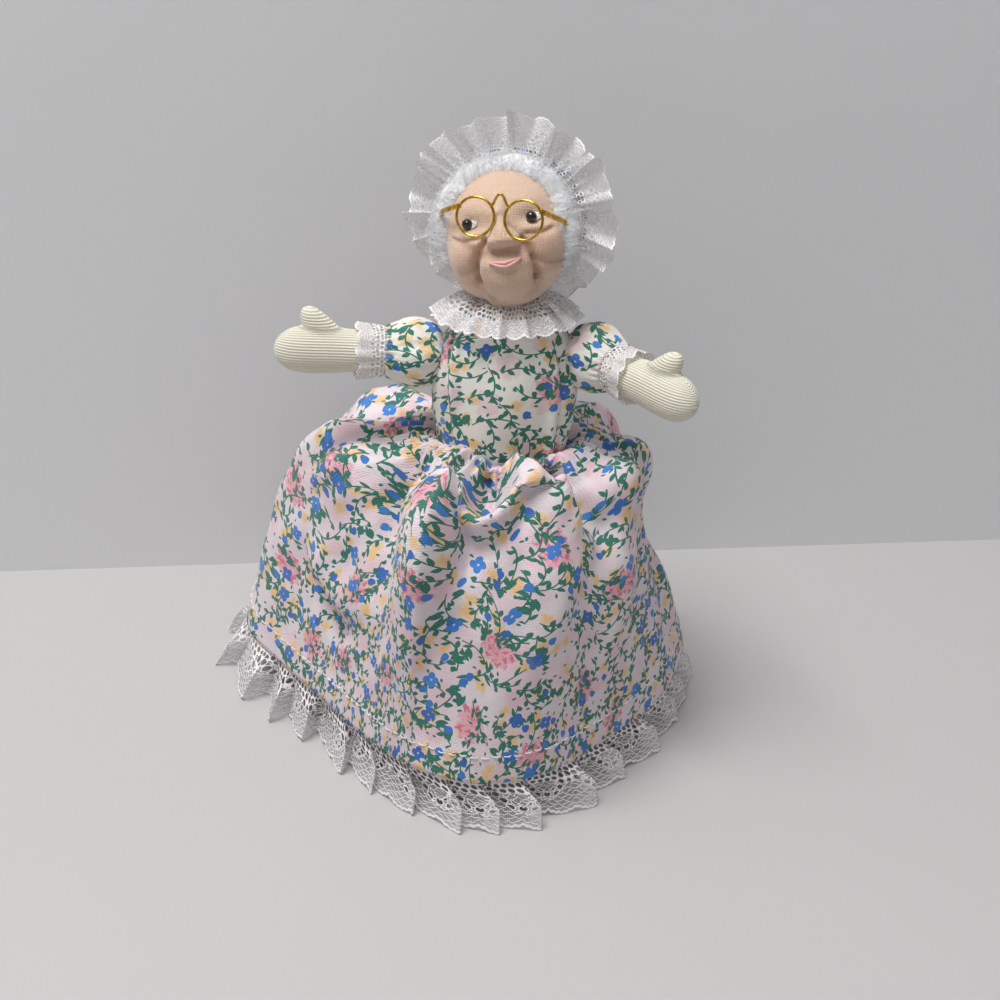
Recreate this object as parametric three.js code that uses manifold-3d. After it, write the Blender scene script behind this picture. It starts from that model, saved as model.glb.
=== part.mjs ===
// Topsy-turvy cloth doll: an old lady in a lace-trimmed cap above the waist and a girl hidden
// upside down below it, with one gathered skirt between them that covers either of the two.
// Millimetres, +Z up. The lady faces -Y, and the origin is the centre of the hem on the table.
import * as THREE from "three";
import { mergeVertices } from "three/addons/utils/BufferGeometryUtils.js";
import Module from "manifold-3d";

const wasm = await Module();
wasm.setup();

const { PI, cos, sin, sqrt, exp, max, min } = Math;
const { degToRad: rad, lerp, smoothstep } = THREE.MathUtils;
const TURN = 2 * PI;

// Cloths and gaps
const COTTON = 1.0; // printed cotton with its turned seam allowances
const LACE = 0.8; // netted lace edging
const JERSEY = 0.9; // knitted skin of the stuffed pieces
const CLEARANCE = 0.3; // between two pieces that lie against each other
const RUNNING = 0.5; // between two pieces that turn past each other

// Stuffed body, the same for both halves
const TORSO_HEIGHT = 46; // waist seam to the foot of the neck
const WAIST_HALF_WIDTH = 17;
const CHEST_HALF_WIDTH = 20;
const SHOULDER_HALF_WIDTH = 17;
const BODY_DEPTH_SHARE = 0.74; // depth over width of the body
const NECK_RADIUS = 7;
const NECK_LENGTH = 6;
const NECK_FLARE = 1.5; // how much wider the neck is at its foot

// Head, the same for both halves
const HEAD_HALF_WIDTH = 18.4;
const HEAD_HALF_DEPTH = 17.6;
const HEAD_HALF_HEIGHT = 20;
const HEAD_SEAT = 1; // between the head and the top of the body
const HEAD_PADDING = 3.6; // from the face to the firm stuffing under its creases
const EYE_RADIUS = 1.5; // 3 mm bead
const EYE_APART = 9.1; // each of the lady's eyes from the middle of the face
const GIRL_EYE_APART = 7.2;
const EYE_HEIGHT = 4.6; // above the middle of the head
const EYE_OUT = 0.5; // middle of the bead in front of the face
const MOUTH_HALF_WIDTH = 4;
const MOUTH_DROP = 6.5; // below the middle of the head
const MOUTH_CURL = 1.2; // how much higher the corners of the mouth are
const THREAD_RADIUS = 0.45;

// Needle-sculpted bumps of the faces: place from the middle of the head, spread and height
const SOCKET_SPREAD = 3;
const SOCKET_DEPTH = 1.4;
const NOSE_DROP = 1;
const NOSE_SPREAD = 4.4;
const NOSE_OUT = 4.2;
const CHEEK_APART = 10.5; // each cheek from the middle of the face
const CHEEK_DROP = 4.5;
const CHEEK_SPREAD = 6;
const CHEEK_OUT = 2.4;
const CHIN_DROP = 13;
const CHIN_SPREAD = 5.5;
const CHIN_OUT = 3;
const GIRL_NOSE_SPREAD = 3;
const GIRL_NOSE_OUT = 1.6;
const GIRL_CHEEK_OUT = 1.2;

// Arms, the same for both halves
const SHOULDER_OUT = 26; // shoulder pivot from the body's middle line
const SHOULDER_UP = 31; // shoulder pivot above the waist
const ARM_LENGTH = 42; // shoulder pivot to the tip of the mitten
const ARM_RADIUS = 6;
const PALM_RADIUS = 7;
const PALM_DEPTH_SHARE = 0.8; // thickness over height of the mitten
const THUMB_LENGTH = 9; // beyond the side of the palm
const THUMB_RADIUS = 3.3;
const THUMB_ANGLE = 52; // degrees from the arm
const ARMHOLE_RADIUS = 10.2; // the ball that the top of the sleeve turns in
const SLEEVE_INSET = 4.8; // the sleeve starts this far inside the pivot
const SLEEVE_LENGTH = 9; // beyond the pivot
const SLEEVE_PUFF = 1.2;
const CUFF_LENGTH = 9;
const CUFF_FLARE = 1.2;

// How the two halves are posed
const LEAN_BACK = 8; // degrees, the lady's half
const LEAN_ASIDE = 2; // degrees, the lady's half towards her right
const HEAD_TURN = 10; // degrees, the lady's face towards her right arm
const HEAD_TIP = 12; // degrees, the lady's face upwards
const FACE_COCK = 11; // degrees, her features askew, with her left eye higher
const LADY_ARMS = { right: { forward: 10, rise: 3 }, left: { forward: 48, rise: -5 } };
const GIRL_ARMS = { right: { forward: 0, rise: 74 }, left: { forward: 0, rise: 74 } };

// Hair, cap and spectacles
const HAIR_ROLL = 3.8; // radius of the lady's roll of hair
const HAIR_SINK = 1.4; // how far its middle line lies inside the head's outline
const HAIR_FRONT = 5; // in front of the middle of the head
const HAIR_ENDS = 7; // below the middle of the head
const GIRL_HAIR = 2.6; // thickness of the girl's hair
const GIRL_FACE_RADIUS = 14.5; // opening of the girl's hair round her face
const CAP_HALF_WIDTH = 21; // opening of the cap
const CAP_HALF_HEIGHT = 19.5;
const CAP_LIFT = 5; // middle of the opening above the middle of the head
const CAP_BACK = 2; // top of the opening behind the middle of the head
const CAP_NAPE = 15; // how much further back the opening runs at the nape
const CROWN_DEPTH = 20; // from the opening to the back of the crown
const CROWN_GATHERS = 16;
const CROWN_RIPPLE = 0.9;
const BRIM_WIDTH = 10.5;
const BRIM_RUFFLES = 20;
const BRIM_RIPPLE = 1.8;
const ELASTIC_RADIUS = 0.6;
const LENS_RADIUS = 5.1; // middle of the wire ring
const LENS_APART = 6.8; // each ring from the middle of the face
const LENS_HEIGHT = 4.6;
const LENS_OUT = 3.2; // in front of the head
const WIRE_RADIUS = 0.5;

// Collar
const COLLAR_REACH = 0.14; // share of the body's outline that it covers
const COLLAR_RUFFLES = 12;
const COLLAR_RIPPLE = 1.2;

// Skirt. Degrees run round the doll from its +X side, so that its front is at 270. Shares run from the
// waist, at 0, to the hem, at 1.
const HEAD_TO_TABLE = 7; // under the girl's hair
const WAIST_ASIDE = 8; // the waist stands this far to the lady's left of the hem's centre
const WAIST_FORWARD = 9; // and this far in front of it
const HEM_START = 90; // the list below starts at the back, and ends short of a whole turn
const HEM_REACH = [
  [90, 68], [130, 71], [158, 77], [174, 73], [190, 61], [212, 53], [234, 54], [256, 61],
  [274, 66], [292, 65], [312, 61], [332, 62], [352, 67], [372, 73], [410, 72],
]; // degrees, and how far from the middle the hem stands
const HEM_HEIGHT = 16; // edge of the printed cotton above the table
const SKIRT_PUFF = 3; // how far the gathered skirt swells above its waist seam
const SKIRT_SHOULDER = 20; // below the waist, where the skirt turns down to the hem
const SKIRT_COLUMNS = 48;
const SKIRT_ROWS = 7;
const PLEAT_LEAN = 0.38; // share of its height by which a pleat leans over to its right
// Folds that run down the skirt: degrees, share and height along each, and its width to the left and right
const FRONT_PLEAT = {
  along: [
    [239, 0, 0], [245, 0.12, 9], [248, 0.26, 13], [251, 0.42, 13],
    [253, 0.58, 10], [254, 0.75, 5.5], [254, 0.95, 0],
  ],
  left: 11,
  right: 6,
};
const FRONT_HOLLOW = {
  along: [[260, 0.2, 0], [264, 0.36, -4.5], [266, 0.6, -3.4], [266, 0.9, 0]],
  left: 6,
  right: 12,
};
const LEFT_VALLEY = {
  along: [
    [212, 0.03, 0], [216, 0.18, -8], [221, 0.34, -10], [227, 0.46, -8], [231, 0.58, -4], [236, 0.75, 0],
  ],
  left: 7,
  right: 6,
};
const RIGHT_PLEAT = {
  along: [[284, 0, 0], [291, 0.07, 6], [297, 0.16, 9.5], [302, 0.26, 6.5], [309, 0.42, 1.5], [312, 0.55, 0]],
  left: 12,
  right: 5,
};
const RIGHT_VALLEY = {
  along: [[299, 0, 0], [305, 0.1, -7], [309, 0.2, -9], [316, 0.36, -5], [324, 0.6, 0]],
  left: 5,
  right: 7,
};
const LOWER_FOLDS = [
  { along: [[303, 0.3, 0], [298, 0.52, 4], [294, 0.75, 3], [292, 1, 0]], left: 10, right: 10 },
  { along: [[328, 0.38, 0], [324, 0.6, 4], [320, 0.85, 2], [318, 1, 0]], left: 9, right: 9 },
];
const SKIRT_FOLDS = [FRONT_PLEAT, FRONT_HOLLOW, LEFT_VALLEY, RIGHT_PLEAT, RIGHT_VALLEY, ...LOWER_FOLDS];
// Rounded puffs and dents: middle in degrees and share, width in degrees, height in share, and depth
const SKIRT_PUFFS = [
  { degrees: 267, share: 0.11, wide: 8, tall: 0.1, height: -10 }, // pocket beside the pleat
  { degrees: 267, share: 0.3, wide: 10, tall: 0.06, height: 6.5 }, // the cloth hanging below it
  { degrees: 194, share: 0.36, wide: 15, tall: 0.16, height: 9 }, // left puff
  { degrees: 200, share: 0.66, wide: 18, tall: 0.12, height: 4 }, // the cloth sagging below it
  { degrees: 343, share: 0.26, wide: 17, tall: 0.12, height: 7.5 }, // right puff
  { degrees: 373, share: 0.66, wide: 22, tall: 0.25, height: -12.5 }, // dent at the right side
];
const HEM_STIFFNESS = 8; // the higher, the nearer to the hem the folds die out
const BACK_FOLDS = 9;
const BACK_FOLD_DEPTH = 3.6;
const BACK_FOLD_DRIFT = 40; // degrees of a fold by which they are unevenly spaced
const BACK_SWAYS = 5; // wider waves under the folds
const BACK_SWAY_DEPTH = 1.4;
const BACK_SWAY_START = 70; // degrees
const BACK_BULGE = 2.5; // where the skirt turns down
const BACK_BULGE_SHARE = 0.3;
const LINING_GAP = 1.2;
const BINDING_HEIGHT = 5;
const BINDING_EASE = 1.5; // round the leaning bodice
const HEM_LACE_FLARE = 6;
const HEM_RUFFLES = 24;
const HEM_RIPPLE = 2.2;

// Places worked out from the sizes above
const HEAD_CENTRE = TORSO_HEIGHT + HEAD_SEAT + HEAD_HALF_HEIGHT; // above the waist
const WAIST_HEIGHT = HEAD_CENTRE + HEAD_HALF_HEIGHT + CLEARANCE + GIRL_HAIR + HEAD_TO_TABLE;
const WAIST_LAP = 5; // the body is drawn this far below the waist before it is cut level

const fabric = (color, roughness = 0.9) => new THREE.MeshStandardMaterial({ color, roughness });
const PRINTED_COTTON = fabric(0xe3cfd2);
const LINING_COTTON = fabric(0x7c2630);
const PLAIN_COTTON = fabric(0x8fb0cc);
const WHITE_LACE = fabric(0xf0ecea);
const FACE_JERSEY = fabric(0xd9b598);
const MITTEN_JERSEY = fabric(0xe9e3c4);
const CALICO = fabric(0xe8ddc8);
const FIBRE = fabric(0xf2f0ea);
const WHITE_HAIR = fabric(0xdfe2e8);
const YARN = fabric(0x6b4425);
const BRASS_WIRE = new THREE.MeshStandardMaterial({ color: 0xc8922e, roughness: 0.3, metalness: 1 });
const BEAD = new THREE.MeshStandardMaterial({ color: 0x0d0b0b, roughness: 0.15 });
const LIP_THREAD = fabric(0xd08d8a, 0.6);

// Geometry from points and triangles, with its faces turned outwards.
function closed(points, triangles) {
  const flat = triangles.flat();
  let volume = 0;
  for (const [a, b, c] of triangles)
    volume += points[a].dot(new THREE.Vector3().crossVectors(points[b], points[c]));
  if (volume < 0) flat.reverse();
  const geometry = new THREE.BufferGeometry().setFromPoints(points);
  geometry.setIndex(flat);
  return geometry;
}

// A closed geometry as a solid for joining and cutting, and back again.
function solid(geometry) {
  const bare = geometry.clone();
  bare.deleteAttribute("normal");
  bare.deleteAttribute("uv");
  const merged = mergeVertices(bare, 1e-4);
  return new wasm.Manifold(
    new wasm.Mesh({
      numProp: 3,
      vertProperties: new Float32Array(merged.attributes.position.array),
      triVerts: new Uint32Array(merged.index.array),
    }),
  );
}

function geometryOf(body) {
  const mesh = body.getMesh();
  const geometry = new THREE.BufferGeometry();
  geometry.setAttribute("position", new THREE.BufferAttribute(mesh.vertProperties, mesh.numProp));
  geometry.setIndex(new THREE.BufferAttribute(mesh.triVerts, 1));
  geometry.computeVertexNormals();
  return geometry;
}

function piece(parent, name, shape, material) {
  const geometry = shape.isBufferGeometry ? shape : geometryOf(shape);
  const mesh = new THREE.Mesh(geometry, material);
  mesh.name = name;
  parent.add(mesh);
}

// Two triangles of a quad of a wrapped grid.
const quad = (a, b, c, d) => [[a, b, c], [a, c, d]];

// Outward normal of a surface that runs once round in u and from edge to edge in v.
const STEP = 1e-3; // share of the surface over which its slope is taken
function sheetNormal(surface, u, v) {
  const along = surface(u + STEP, v).sub(surface(u - STEP, v));
  const across = surface(u, min(1, v + STEP)).sub(surface(u, max(0, v - STEP)));
  return across.cross(along).normalize();
}

// A sheet of cloth closed into a ring: surface(u, v) runs once round in u and from edge to edge in v.
// The sheet is as thick as the difference of the two offsets, taken along the normal of the surface or of
// the plainer form under it. From levelFrom on, they are taken level, so that an edge there is cut square
// to Z.
function clothRing(surface, columns, rows, outer, inner, levelFrom = 2, form = surface) {
  const points = [];
  for (const offset of [outer, inner])
    for (let row = 0; row <= rows; row++)
      for (let column = 0; column < columns; column++) {
        const u = column / columns;
        const v = row / rows;
        const normal = sheetNormal(form, u, v);
        if (v >= levelFrom) normal.setZ(0).normalize();
        points.push(surface(u, v).addScaledVector(normal, offset));
      }
  const at = (skin, row, column) => (skin * (rows + 1) + row) * columns + (column % columns);
  const triangles = [];
  for (let column = 0; column < columns; column++) {
    const next = column + 1;
    for (let row = 0; row < rows; row++) {
      const low = row + 1;
      triangles.push(...quad(at(0, row, column), at(0, low, column), at(0, low, next), at(0, row, next)));
      triangles.push(...quad(at(1, row, column), at(1, row, next), at(1, low, next), at(1, low, column)));
    }
    triangles.push(...quad(at(0, 0, column), at(0, 0, next), at(1, 0, next), at(1, 0, column)));
    triangles.push(...quad(at(0, rows, column), at(1, rows, column), at(1, rows, next), at(0, rows, next)));
  }
  return closed(points, triangles);
}

// A stuffed form through rings of points, with both ends closed to their middles.
function loft(rings) {
  const columns = rings[0].length;
  const points = rings.flat();
  const middle = (ring) => ring.reduce((sum, p) => sum.add(p), new THREE.Vector3()).divideScalar(columns);
  points.push(middle(rings[0]), middle(rings.at(-1)));
  const [first, last] = [points.length - 2, points.length - 1];
  const triangles = [];
  for (let column = 0; column < columns; column++) {
    const next = (column + 1) % columns;
    for (let row = 0; row + 1 < rings.length; row++) {
      const [low, high] = [row * columns, (row + 1) * columns];
      triangles.push(...quad(low + column, low + next, high + next, high + column));
    }
    const end = (rings.length - 1) * columns;
    triangles.push([first, next, column], [last, end + column, end + next]);
  }
  return closed(points, triangles);
}

// A closed loop of tube round the Y axis, whose middle line is centre(u).
function loopTube(centre, radius, columns, sides) {
  const points = [];
  for (let column = 0; column < columns; column++)
    for (let side = 0; side < sides; side++) {
      const u = column / columns;
      const angle = (TURN * side) / sides;
      const out = new THREE.Vector3(sin(TURN * u), 0, cos(TURN * u)).multiplyScalar(cos(angle));
      out.y = sin(angle);
      points.push(centre(u).addScaledVector(out, radius));
    }
  const at = (column, side) => (column % columns) * sides + (side % sides);
  const triangles = [];
  for (let column = 0; column < columns; column++)
    for (let side = 0; side < sides; side++) {
      const [next, over] = [column + 1, side + 1];
      triangles.push(...quad(at(column, side), at(next, side), at(next, over), at(column, over)));
    }
  return closed(points, triangles);
}

const ellipse = (columns, place) => Array.from({ length: columns }, (_, i) => place((TURN * i) / columns));

// A faceted ball with a true ball of the given radius inside it.
const ball = (radius) => new THREE.SphereGeometry(radius / (cos(PI / 16) * cos(PI / 18)), 16, 9);


// A round bar or thread along a curve.
function wire(curve, radius, steps) {
  const section = new THREE.Shape(ellipse(5, (a) => new THREE.Vector2(radius * cos(a), radius * sin(a))));
  return new THREE.ExtrudeGeometry(section, { steps, extrudePath: curve, curveSegments: 1 });
}

// The body's outline from the waist to the foot of the neck: half width and height.
const torsoOutline = new THREE.SplineCurve([
  new THREE.Vector2(WAIST_HALF_WIDTH, -WAIST_LAP),
  new THREE.Vector2(WAIST_HALF_WIDTH, 0),
  new THREE.Vector2(CHEST_HALF_WIDTH, 0.5 * TORSO_HEIGHT),
  new THREE.Vector2(SHOULDER_HALF_WIDTH, 0.82 * TORSO_HEIGHT),
  new THREE.Vector2(NECK_RADIUS + NECK_FLARE, TORSO_HEIGHT),
]);

// Point on the body at share t of its outline, with the surface moved out by grow.
function torsoPoint(t, angle, grow) {
  const { x: halfWidth, y: height } = torsoOutline.getPoint(t);
  const round = smoothstep(height, 0.75 * TORSO_HEIGHT, TORSO_HEIGHT);
  const halfDepth = halfWidth * lerp(BODY_DEPTH_SHARE, 1, round);
  return new THREE.Vector3((halfWidth + grow) * cos(angle), (halfDepth + grow) * sin(angle), height);
}

function torsoForm(grow) {
  const columns = 16;
  const rings = [];
  for (let row = 0; row <= 5; row++) rings.push(ellipse(columns, (a) => torsoPoint(row / 5, a, grow)));
  const top = TORSO_HEIGHT + NECK_LENGTH + grow;
  for (const height of [lerp(TORSO_HEIGHT, top, 0.25), top])
    rings.push(
      ellipse(columns, (a) => {
        const radius = NECK_RADIUS + grow;
        return new THREE.Vector3(radius * cos(a), radius * sin(a), height);
      }),
    );
  return loft(rings);
}

// The arm lies along +X from the shoulder pivot, with its thumb up.
function armForm(grow) {
  const columns = 10;
  const rings = [];
  const tip = ARM_LENGTH + grow;
  const palm = ARM_LENGTH - 2 * PALM_RADIUS;
  const root = ARM_RADIUS + grow;
  const stations = [-0.94 * root, -0.6 * root, 0, 0.5 * palm, palm, tip - PALM_RADIUS, tip - 2.2, tip - 0.4];
  for (const x of stations) {
    const flat = smoothstep(x, 0.5 * palm, palm);
    const full = lerp(ARM_RADIUS, PALM_RADIUS, flat) + grow;
    const into = x < 0 ? x / root : max(0, (x - tip + PALM_RADIUS) / PALM_RADIUS);
    const radius = full * sqrt(1 - into * into);
    const thick = radius * lerp(1, PALM_DEPTH_SHARE, flat);
    rings.push(ellipse(columns, (a) => new THREE.Vector3(x, thick * cos(a), radius * sin(a))));
  }
  return loft(rings);
}

function thumbForm() {
  const columns = 6;
  const length = PALM_RADIUS + THUMB_LENGTH;
  const stations = [0, 0.45 * length, length - THUMB_RADIUS, length - 0.3 * THUMB_RADIUS, length - 0.03];
  const rings = stations.map((z) => {
    const into = max(0, (z - length + THUMB_RADIUS) / THUMB_RADIUS);
    const radius = THUMB_RADIUS * sqrt(1 - into * into);
    return ellipse(columns, (a) => new THREE.Vector3(radius * cos(a), radius * PALM_DEPTH_SHARE * sin(a), z));
  });
  const thumb = loft(rings);
  thumb.rotateY(rad(90 - THUMB_ANGLE));
  thumb.translate(ARM_LENGTH - 2 * PALM_RADIUS - 2, 0, 0);
  return thumb;
}

// Place on a face whose features lean by the given angle about the middle between the eyes.
function askew(x, z, cock) {
  const up = z - EYE_HEIGHT;
  const lean = rad(cock);
  return { x: x * cos(lean) - up * sin(lean), z: EYE_HEIGHT + x * sin(lean) + up * cos(lean) };
}

// Bumps of a needle-sculpted face, in the plane of the face: place, size and height.
const LADY_FACE = [
  { x: 0, z: -NOSE_DROP, size: NOSE_SPREAD, height: NOSE_OUT },
  { x: -CHEEK_APART, z: -CHEEK_DROP, size: CHEEK_SPREAD, height: CHEEK_OUT },
  { x: CHEEK_APART, z: -CHEEK_DROP, size: CHEEK_SPREAD, height: CHEEK_OUT },
  { x: 0, z: -CHIN_DROP, size: CHIN_SPREAD, height: CHIN_OUT },
  { x: -EYE_APART, z: EYE_HEIGHT, size: SOCKET_SPREAD, height: -SOCKET_DEPTH },
  { x: EYE_APART, z: EYE_HEIGHT, size: SOCKET_SPREAD, height: -SOCKET_DEPTH },
].map((bump) => ({ ...bump, ...askew(bump.x, bump.z, FACE_COCK) }));
const GIRL_FACE = [
  { x: 0, z: -NOSE_DROP, size: GIRL_NOSE_SPREAD, height: GIRL_NOSE_OUT },
  { x: -CHEEK_APART, z: -CHEEK_DROP, size: CHEEK_SPREAD, height: GIRL_CHEEK_OUT },
  { x: CHEEK_APART, z: -CHEEK_DROP, size: CHEEK_SPREAD, height: GIRL_CHEEK_OUT },
];

// How far the face stands out in front of a plain egg at (x, z).
const relief = (face, x, z) =>
  face.reduce((sum, f) => sum + f.height * exp(-((x - f.x) ** 2 + (z - f.z) ** 2) / f.size ** 2), 0);

// Front of the head at (x, z), seen from the middle of the head.
function faceFront(face, x, z) {
  const share = 1 - (x / HEAD_HALF_WIDTH) ** 2 - (z / HEAD_HALF_HEIGHT) ** 2;
  return -HEAD_HALF_DEPTH * sqrt(share) - relief(face, x, z);
}

// The head as an egg with the face's relief on its front, its surface moved out by grow.
function headForm(face, grow, columns, rows) {
  const rings = [];
  for (let row = 1; row < rows; row++) {
    const polar = (PI * row) / rows;
    rings.push(
      ellipse(columns, (a) => {
        const x = (HEAD_HALF_WIDTH + grow) * sin(polar) * cos(a);
        const y = (HEAD_HALF_DEPTH + grow) * sin(polar) * sin(a);
        const z = -(HEAD_HALF_HEIGHT + grow) * cos(polar);
        return new THREE.Vector3(x, y - relief(face, x, z) * smoothstep(-y, 0, HEAD_HALF_DEPTH), z);
      }),
    );
  }
  return loft(rings);
}

// The passage of the neck into a head that is tipped back by the given angle.
function neckHole(tip) {
  const radius = NECK_RADIUS + RUNNING;
  const hole = new THREE.CylinderGeometry(radius, radius, HEAD_CENTRE, 16).rotateX(PI / 2);
  const top = TORSO_HEIGHT + NECK_LENGTH + RUNNING - HEAD_CENTRE;
  hole.translate(0, 0, top - HEAD_CENTRE / 2);
  return solid(hole.rotateX(rad(tip)));
}

// Stuffed body with its cotton bodice, cut at the waist by a plane that is turned upright by the given turn.
function addTorso(half, name, bodiceCloth, upright) {
  const below = new THREE.BoxGeometry(8 * HEAD_CENTRE, 8 * HEAD_CENTRE, HEAD_CENTRE);
  below.translate(0, 0, CLEARANCE / 2 - HEAD_CENTRE / 2).applyQuaternion(upright);
  let cut = solid(below);
  for (const side of [-1, 1])
    cut = cut.add(solid(ball(ARMHOLE_RADIUS).translate(side * SHOULDER_OUT, 0, SHOULDER_UP)));
  const skin = solid(torsoForm(0)).subtract(solid(torsoForm(-JERSEY)));
  piece(half, `${name}_torso`, skin.subtract(cut), CALICO);
  piece(half, `${name}_torso_stuffing`, solid(torsoForm(-JERSEY - CLEARANCE)).subtract(cut), FIBRE);
  const down = (u, v) => torsoPoint(1 - v, TURN * u, 0);
  const bodice = clothRing(down, 16, 5, CLEARANCE + COTTON, CLEARANCE);
  piece(half, `${name}_bodice`, solid(bodice).subtract(cut), bodiceCloth);
}

// Collar that lies on the bodice round the neck.
function addCollar(half, name, material) {
  const lie = 2 * CLEARANCE + COTTON;
  const surface = (u, v) => {
    const wave = (COLLAR_RIPPLE * v * (1 - cos(TURN * COLLAR_RUFFLES * u))) / 2;
    return torsoPoint(1 - COLLAR_REACH * v, TURN * u, wave);
  };
  piece(half, name, clothRing(surface, 3 * COLLAR_RUFFLES, 1, lie + LACE, lie), material);
}

// Arms with their sleeves, one on each side of a half. The right arm is on the half's own right.
function addArms(half, name, poses, sleeveCloth, cuffed) {
  for (const [side, pose] of Object.entries(poses)) {
    const arm = new THREE.Group();
    const right = side === "right";
    arm.position.set(right ? -SHOULDER_OUT : SHOULDER_OUT, 0, SHOULDER_UP);
    const heading = right ? 180 + pose.forward : -pose.forward;
    arm.rotation.set(0, rad(-pose.rise), rad(heading), "ZYX");
    half.add(arm);

    const opening = new THREE.CylinderGeometry(ARM_RADIUS / 2, ARM_RADIUS / 2, ARM_RADIUS, 8);
    opening.rotateZ(PI / 2).translate(-ARM_RADIUS, 0, 0);
    const skin = solid(armForm(0)).add(solid(thumbForm())).subtract(solid(armForm(-JERSEY)));
    piece(arm, `${name}_${side}_arm`, skin.subtract(solid(opening)), MITTEN_JERSEY);
    piece(arm, `${name}_${side}_arm_stuffing`, armForm(-JERSEY - CLEARANCE), FIBRE);

    const top = sqrt((ARMHOLE_RADIUS - RUNNING) ** 2 - SLEEVE_INSET ** 2) - COTTON / 2;
    const end = ARM_RADIUS + CLEARANCE + COTTON / 2;
    const sleeve = (u, v) => {
      const radius = lerp(top, end, smoothstep(v, 0.35, 1)) + SLEEVE_PUFF * sin(PI * v) ** 2;
      const x = lerp(-SLEEVE_INSET, SLEEVE_LENGTH, v);
      return new THREE.Vector3(x, radius * cos(TURN * u), radius * sin(TURN * u));
    };
    piece(arm, `${name}_${side}_sleeve`, clothRing(sleeve, 12, 4, COTTON / 2, -COTTON / 2), sleeveCloth);

    if (!cuffed) continue;
    const cuff = (u, v) => {
      const wave = (CUFF_FLARE * v * (1 - cos(TURN * 8 * u))) / 2;
      const radius = PALM_RADIUS + CLEARANCE + LACE / 2 + wave;
      const x = SLEEVE_LENGTH + CLEARANCE + CUFF_LENGTH * v;
      return new THREE.Vector3(x, radius * cos(TURN * u), radius * sin(TURN * u));
    };
    piece(arm, `${name}_${side}_cuff_lace`, clothRing(cuff, 16, 1, LACE / 2, -LACE / 2), WHITE_LACE);
  }
}

// Head with its stuffing, bead eyes and stitched mouth. The group's origin is the middle of the head.
function addHead(half, name, face, eyesApart, cock, turn, tip) {
  const head = new THREE.Group();
  head.position.z = HEAD_CENTRE;
  head.rotation.set(rad(-tip), 0, rad(-turn), "ZYX");
  half.add(head);
  let hollow = solid(headForm([], -HEAD_PADDING, 12, 7)).add(neckHole(tip));
  const mouth = new THREE.CatmullRomCurve3(
    [-1, -0.5, 0, 0.5, 1].map((share) => {
      const level = -MOUTH_DROP + MOUTH_CURL * share * share;
      const { x, z } = askew(share * MOUTH_HALF_WIDTH, level, cock);
      return new THREE.Vector3(x, faceFront(face, x, z) - THREAD_RADIUS, z);
    }),
  );
  for (const [side, apart] of [["right", -eyesApart], ["left", eyesApart]]) {
    const { x, z } = askew(apart, EYE_HEIGHT, cock);
    const front = faceFront(face, x, z) - EYE_OUT;
    const seat = (radius) => new THREE.SphereGeometry(radius, 8, 6).translate(x, front, z);
    piece(head, `${name}_${side}_eye`, seat(EYE_RADIUS), BEAD);
    hollow = hollow.add(solid(seat(EYE_RADIUS + CLEARANCE)));
  }
  piece(head, `${name}_mouth_stitch`, wire(mouth, THREAD_RADIUS, 5), LIP_THREAD);
  const groove = solid(wire(mouth, THREAD_RADIUS + CLEARANCE, 5));
  const skin = solid(headForm(face, 0, 18, 12)).subtract(hollow).subtract(groove);
  piece(head, `${name}_head`, skin, FACE_JERSEY);
  const fill = solid(headForm([], -HEAD_PADDING - CLEARANCE, 12, 7));
  const neck = neckHole(tip);
  piece(head, `${name}_head_stuffing`, fill.subtract(neck), FIBRE);
  return head;
}

// Round wire spectacles bent from one length of wire. They sit on the nose and run back into the hair.
function spectacles(grow) {
  const radius = WIRE_RADIUS + grow;
  const front = -HEAD_HALF_DEPTH - LENS_OUT;
  let frame = null;
  for (const side of [-1, 1]) {
    const ring = new THREE.TorusGeometry(LENS_RADIUS, radius, 5, 16).rotateX(PI / 2);
    ring.translate(side * LENS_APART, front, LENS_HEIGHT);
    const hinge = LENS_APART + LENS_RADIUS;
    const ear = HEAD_HALF_WIDTH + WIRE_RADIUS + RUNNING;
    const temple = new THREE.CatmullRomCurve3([
      new THREE.Vector3(side * hinge, front, LENS_HEIGHT),
      new THREE.Vector3(side * lerp(hinge, ear, 0.62), lerp(front, 0, 0.4), LENS_HEIGHT),
      new THREE.Vector3(side * ear, lerp(front, 0, 0.85), LENS_HEIGHT - 1),
    ]);
    const half = solid(ring).add(solid(wire(temple, radius, 5)));
    frame = frame ? frame.add(half) : half;
  }
  const inner = LENS_APART - LENS_RADIUS;
  const rise = LENS_HEIGHT + LENS_RADIUS / 2;
  const bridge = new THREE.CatmullRomCurve3([
    new THREE.Vector3(-inner - WIRE_RADIUS, front, rise - 1),
    new THREE.Vector3(-inner / 2, front - 0.4, rise + 1.2),
    new THREE.Vector3(0, front - 0.6, rise + 2.2),
    new THREE.Vector3(inner / 2, front - 0.4, rise + 1.2),
    new THREE.Vector3(inner + WIRE_RADIUS, front, rise - 1),
  ]);
  return frame.add(solid(wire(bridge, radius, 6)));
}

// Edge of the cap's opening, from the top of the head round by the nape.
function capEdge(u) {
  const angle = TURN * u;
  const down = (1 - cos(angle)) / 2;
  return new THREE.Vector3(
    CAP_HALF_WIDTH * sin(angle),
    CAP_BACK + CAP_NAPE * down * down,
    CAP_LIFT + CAP_HALF_HEIGHT * cos(angle),
  );
}

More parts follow.
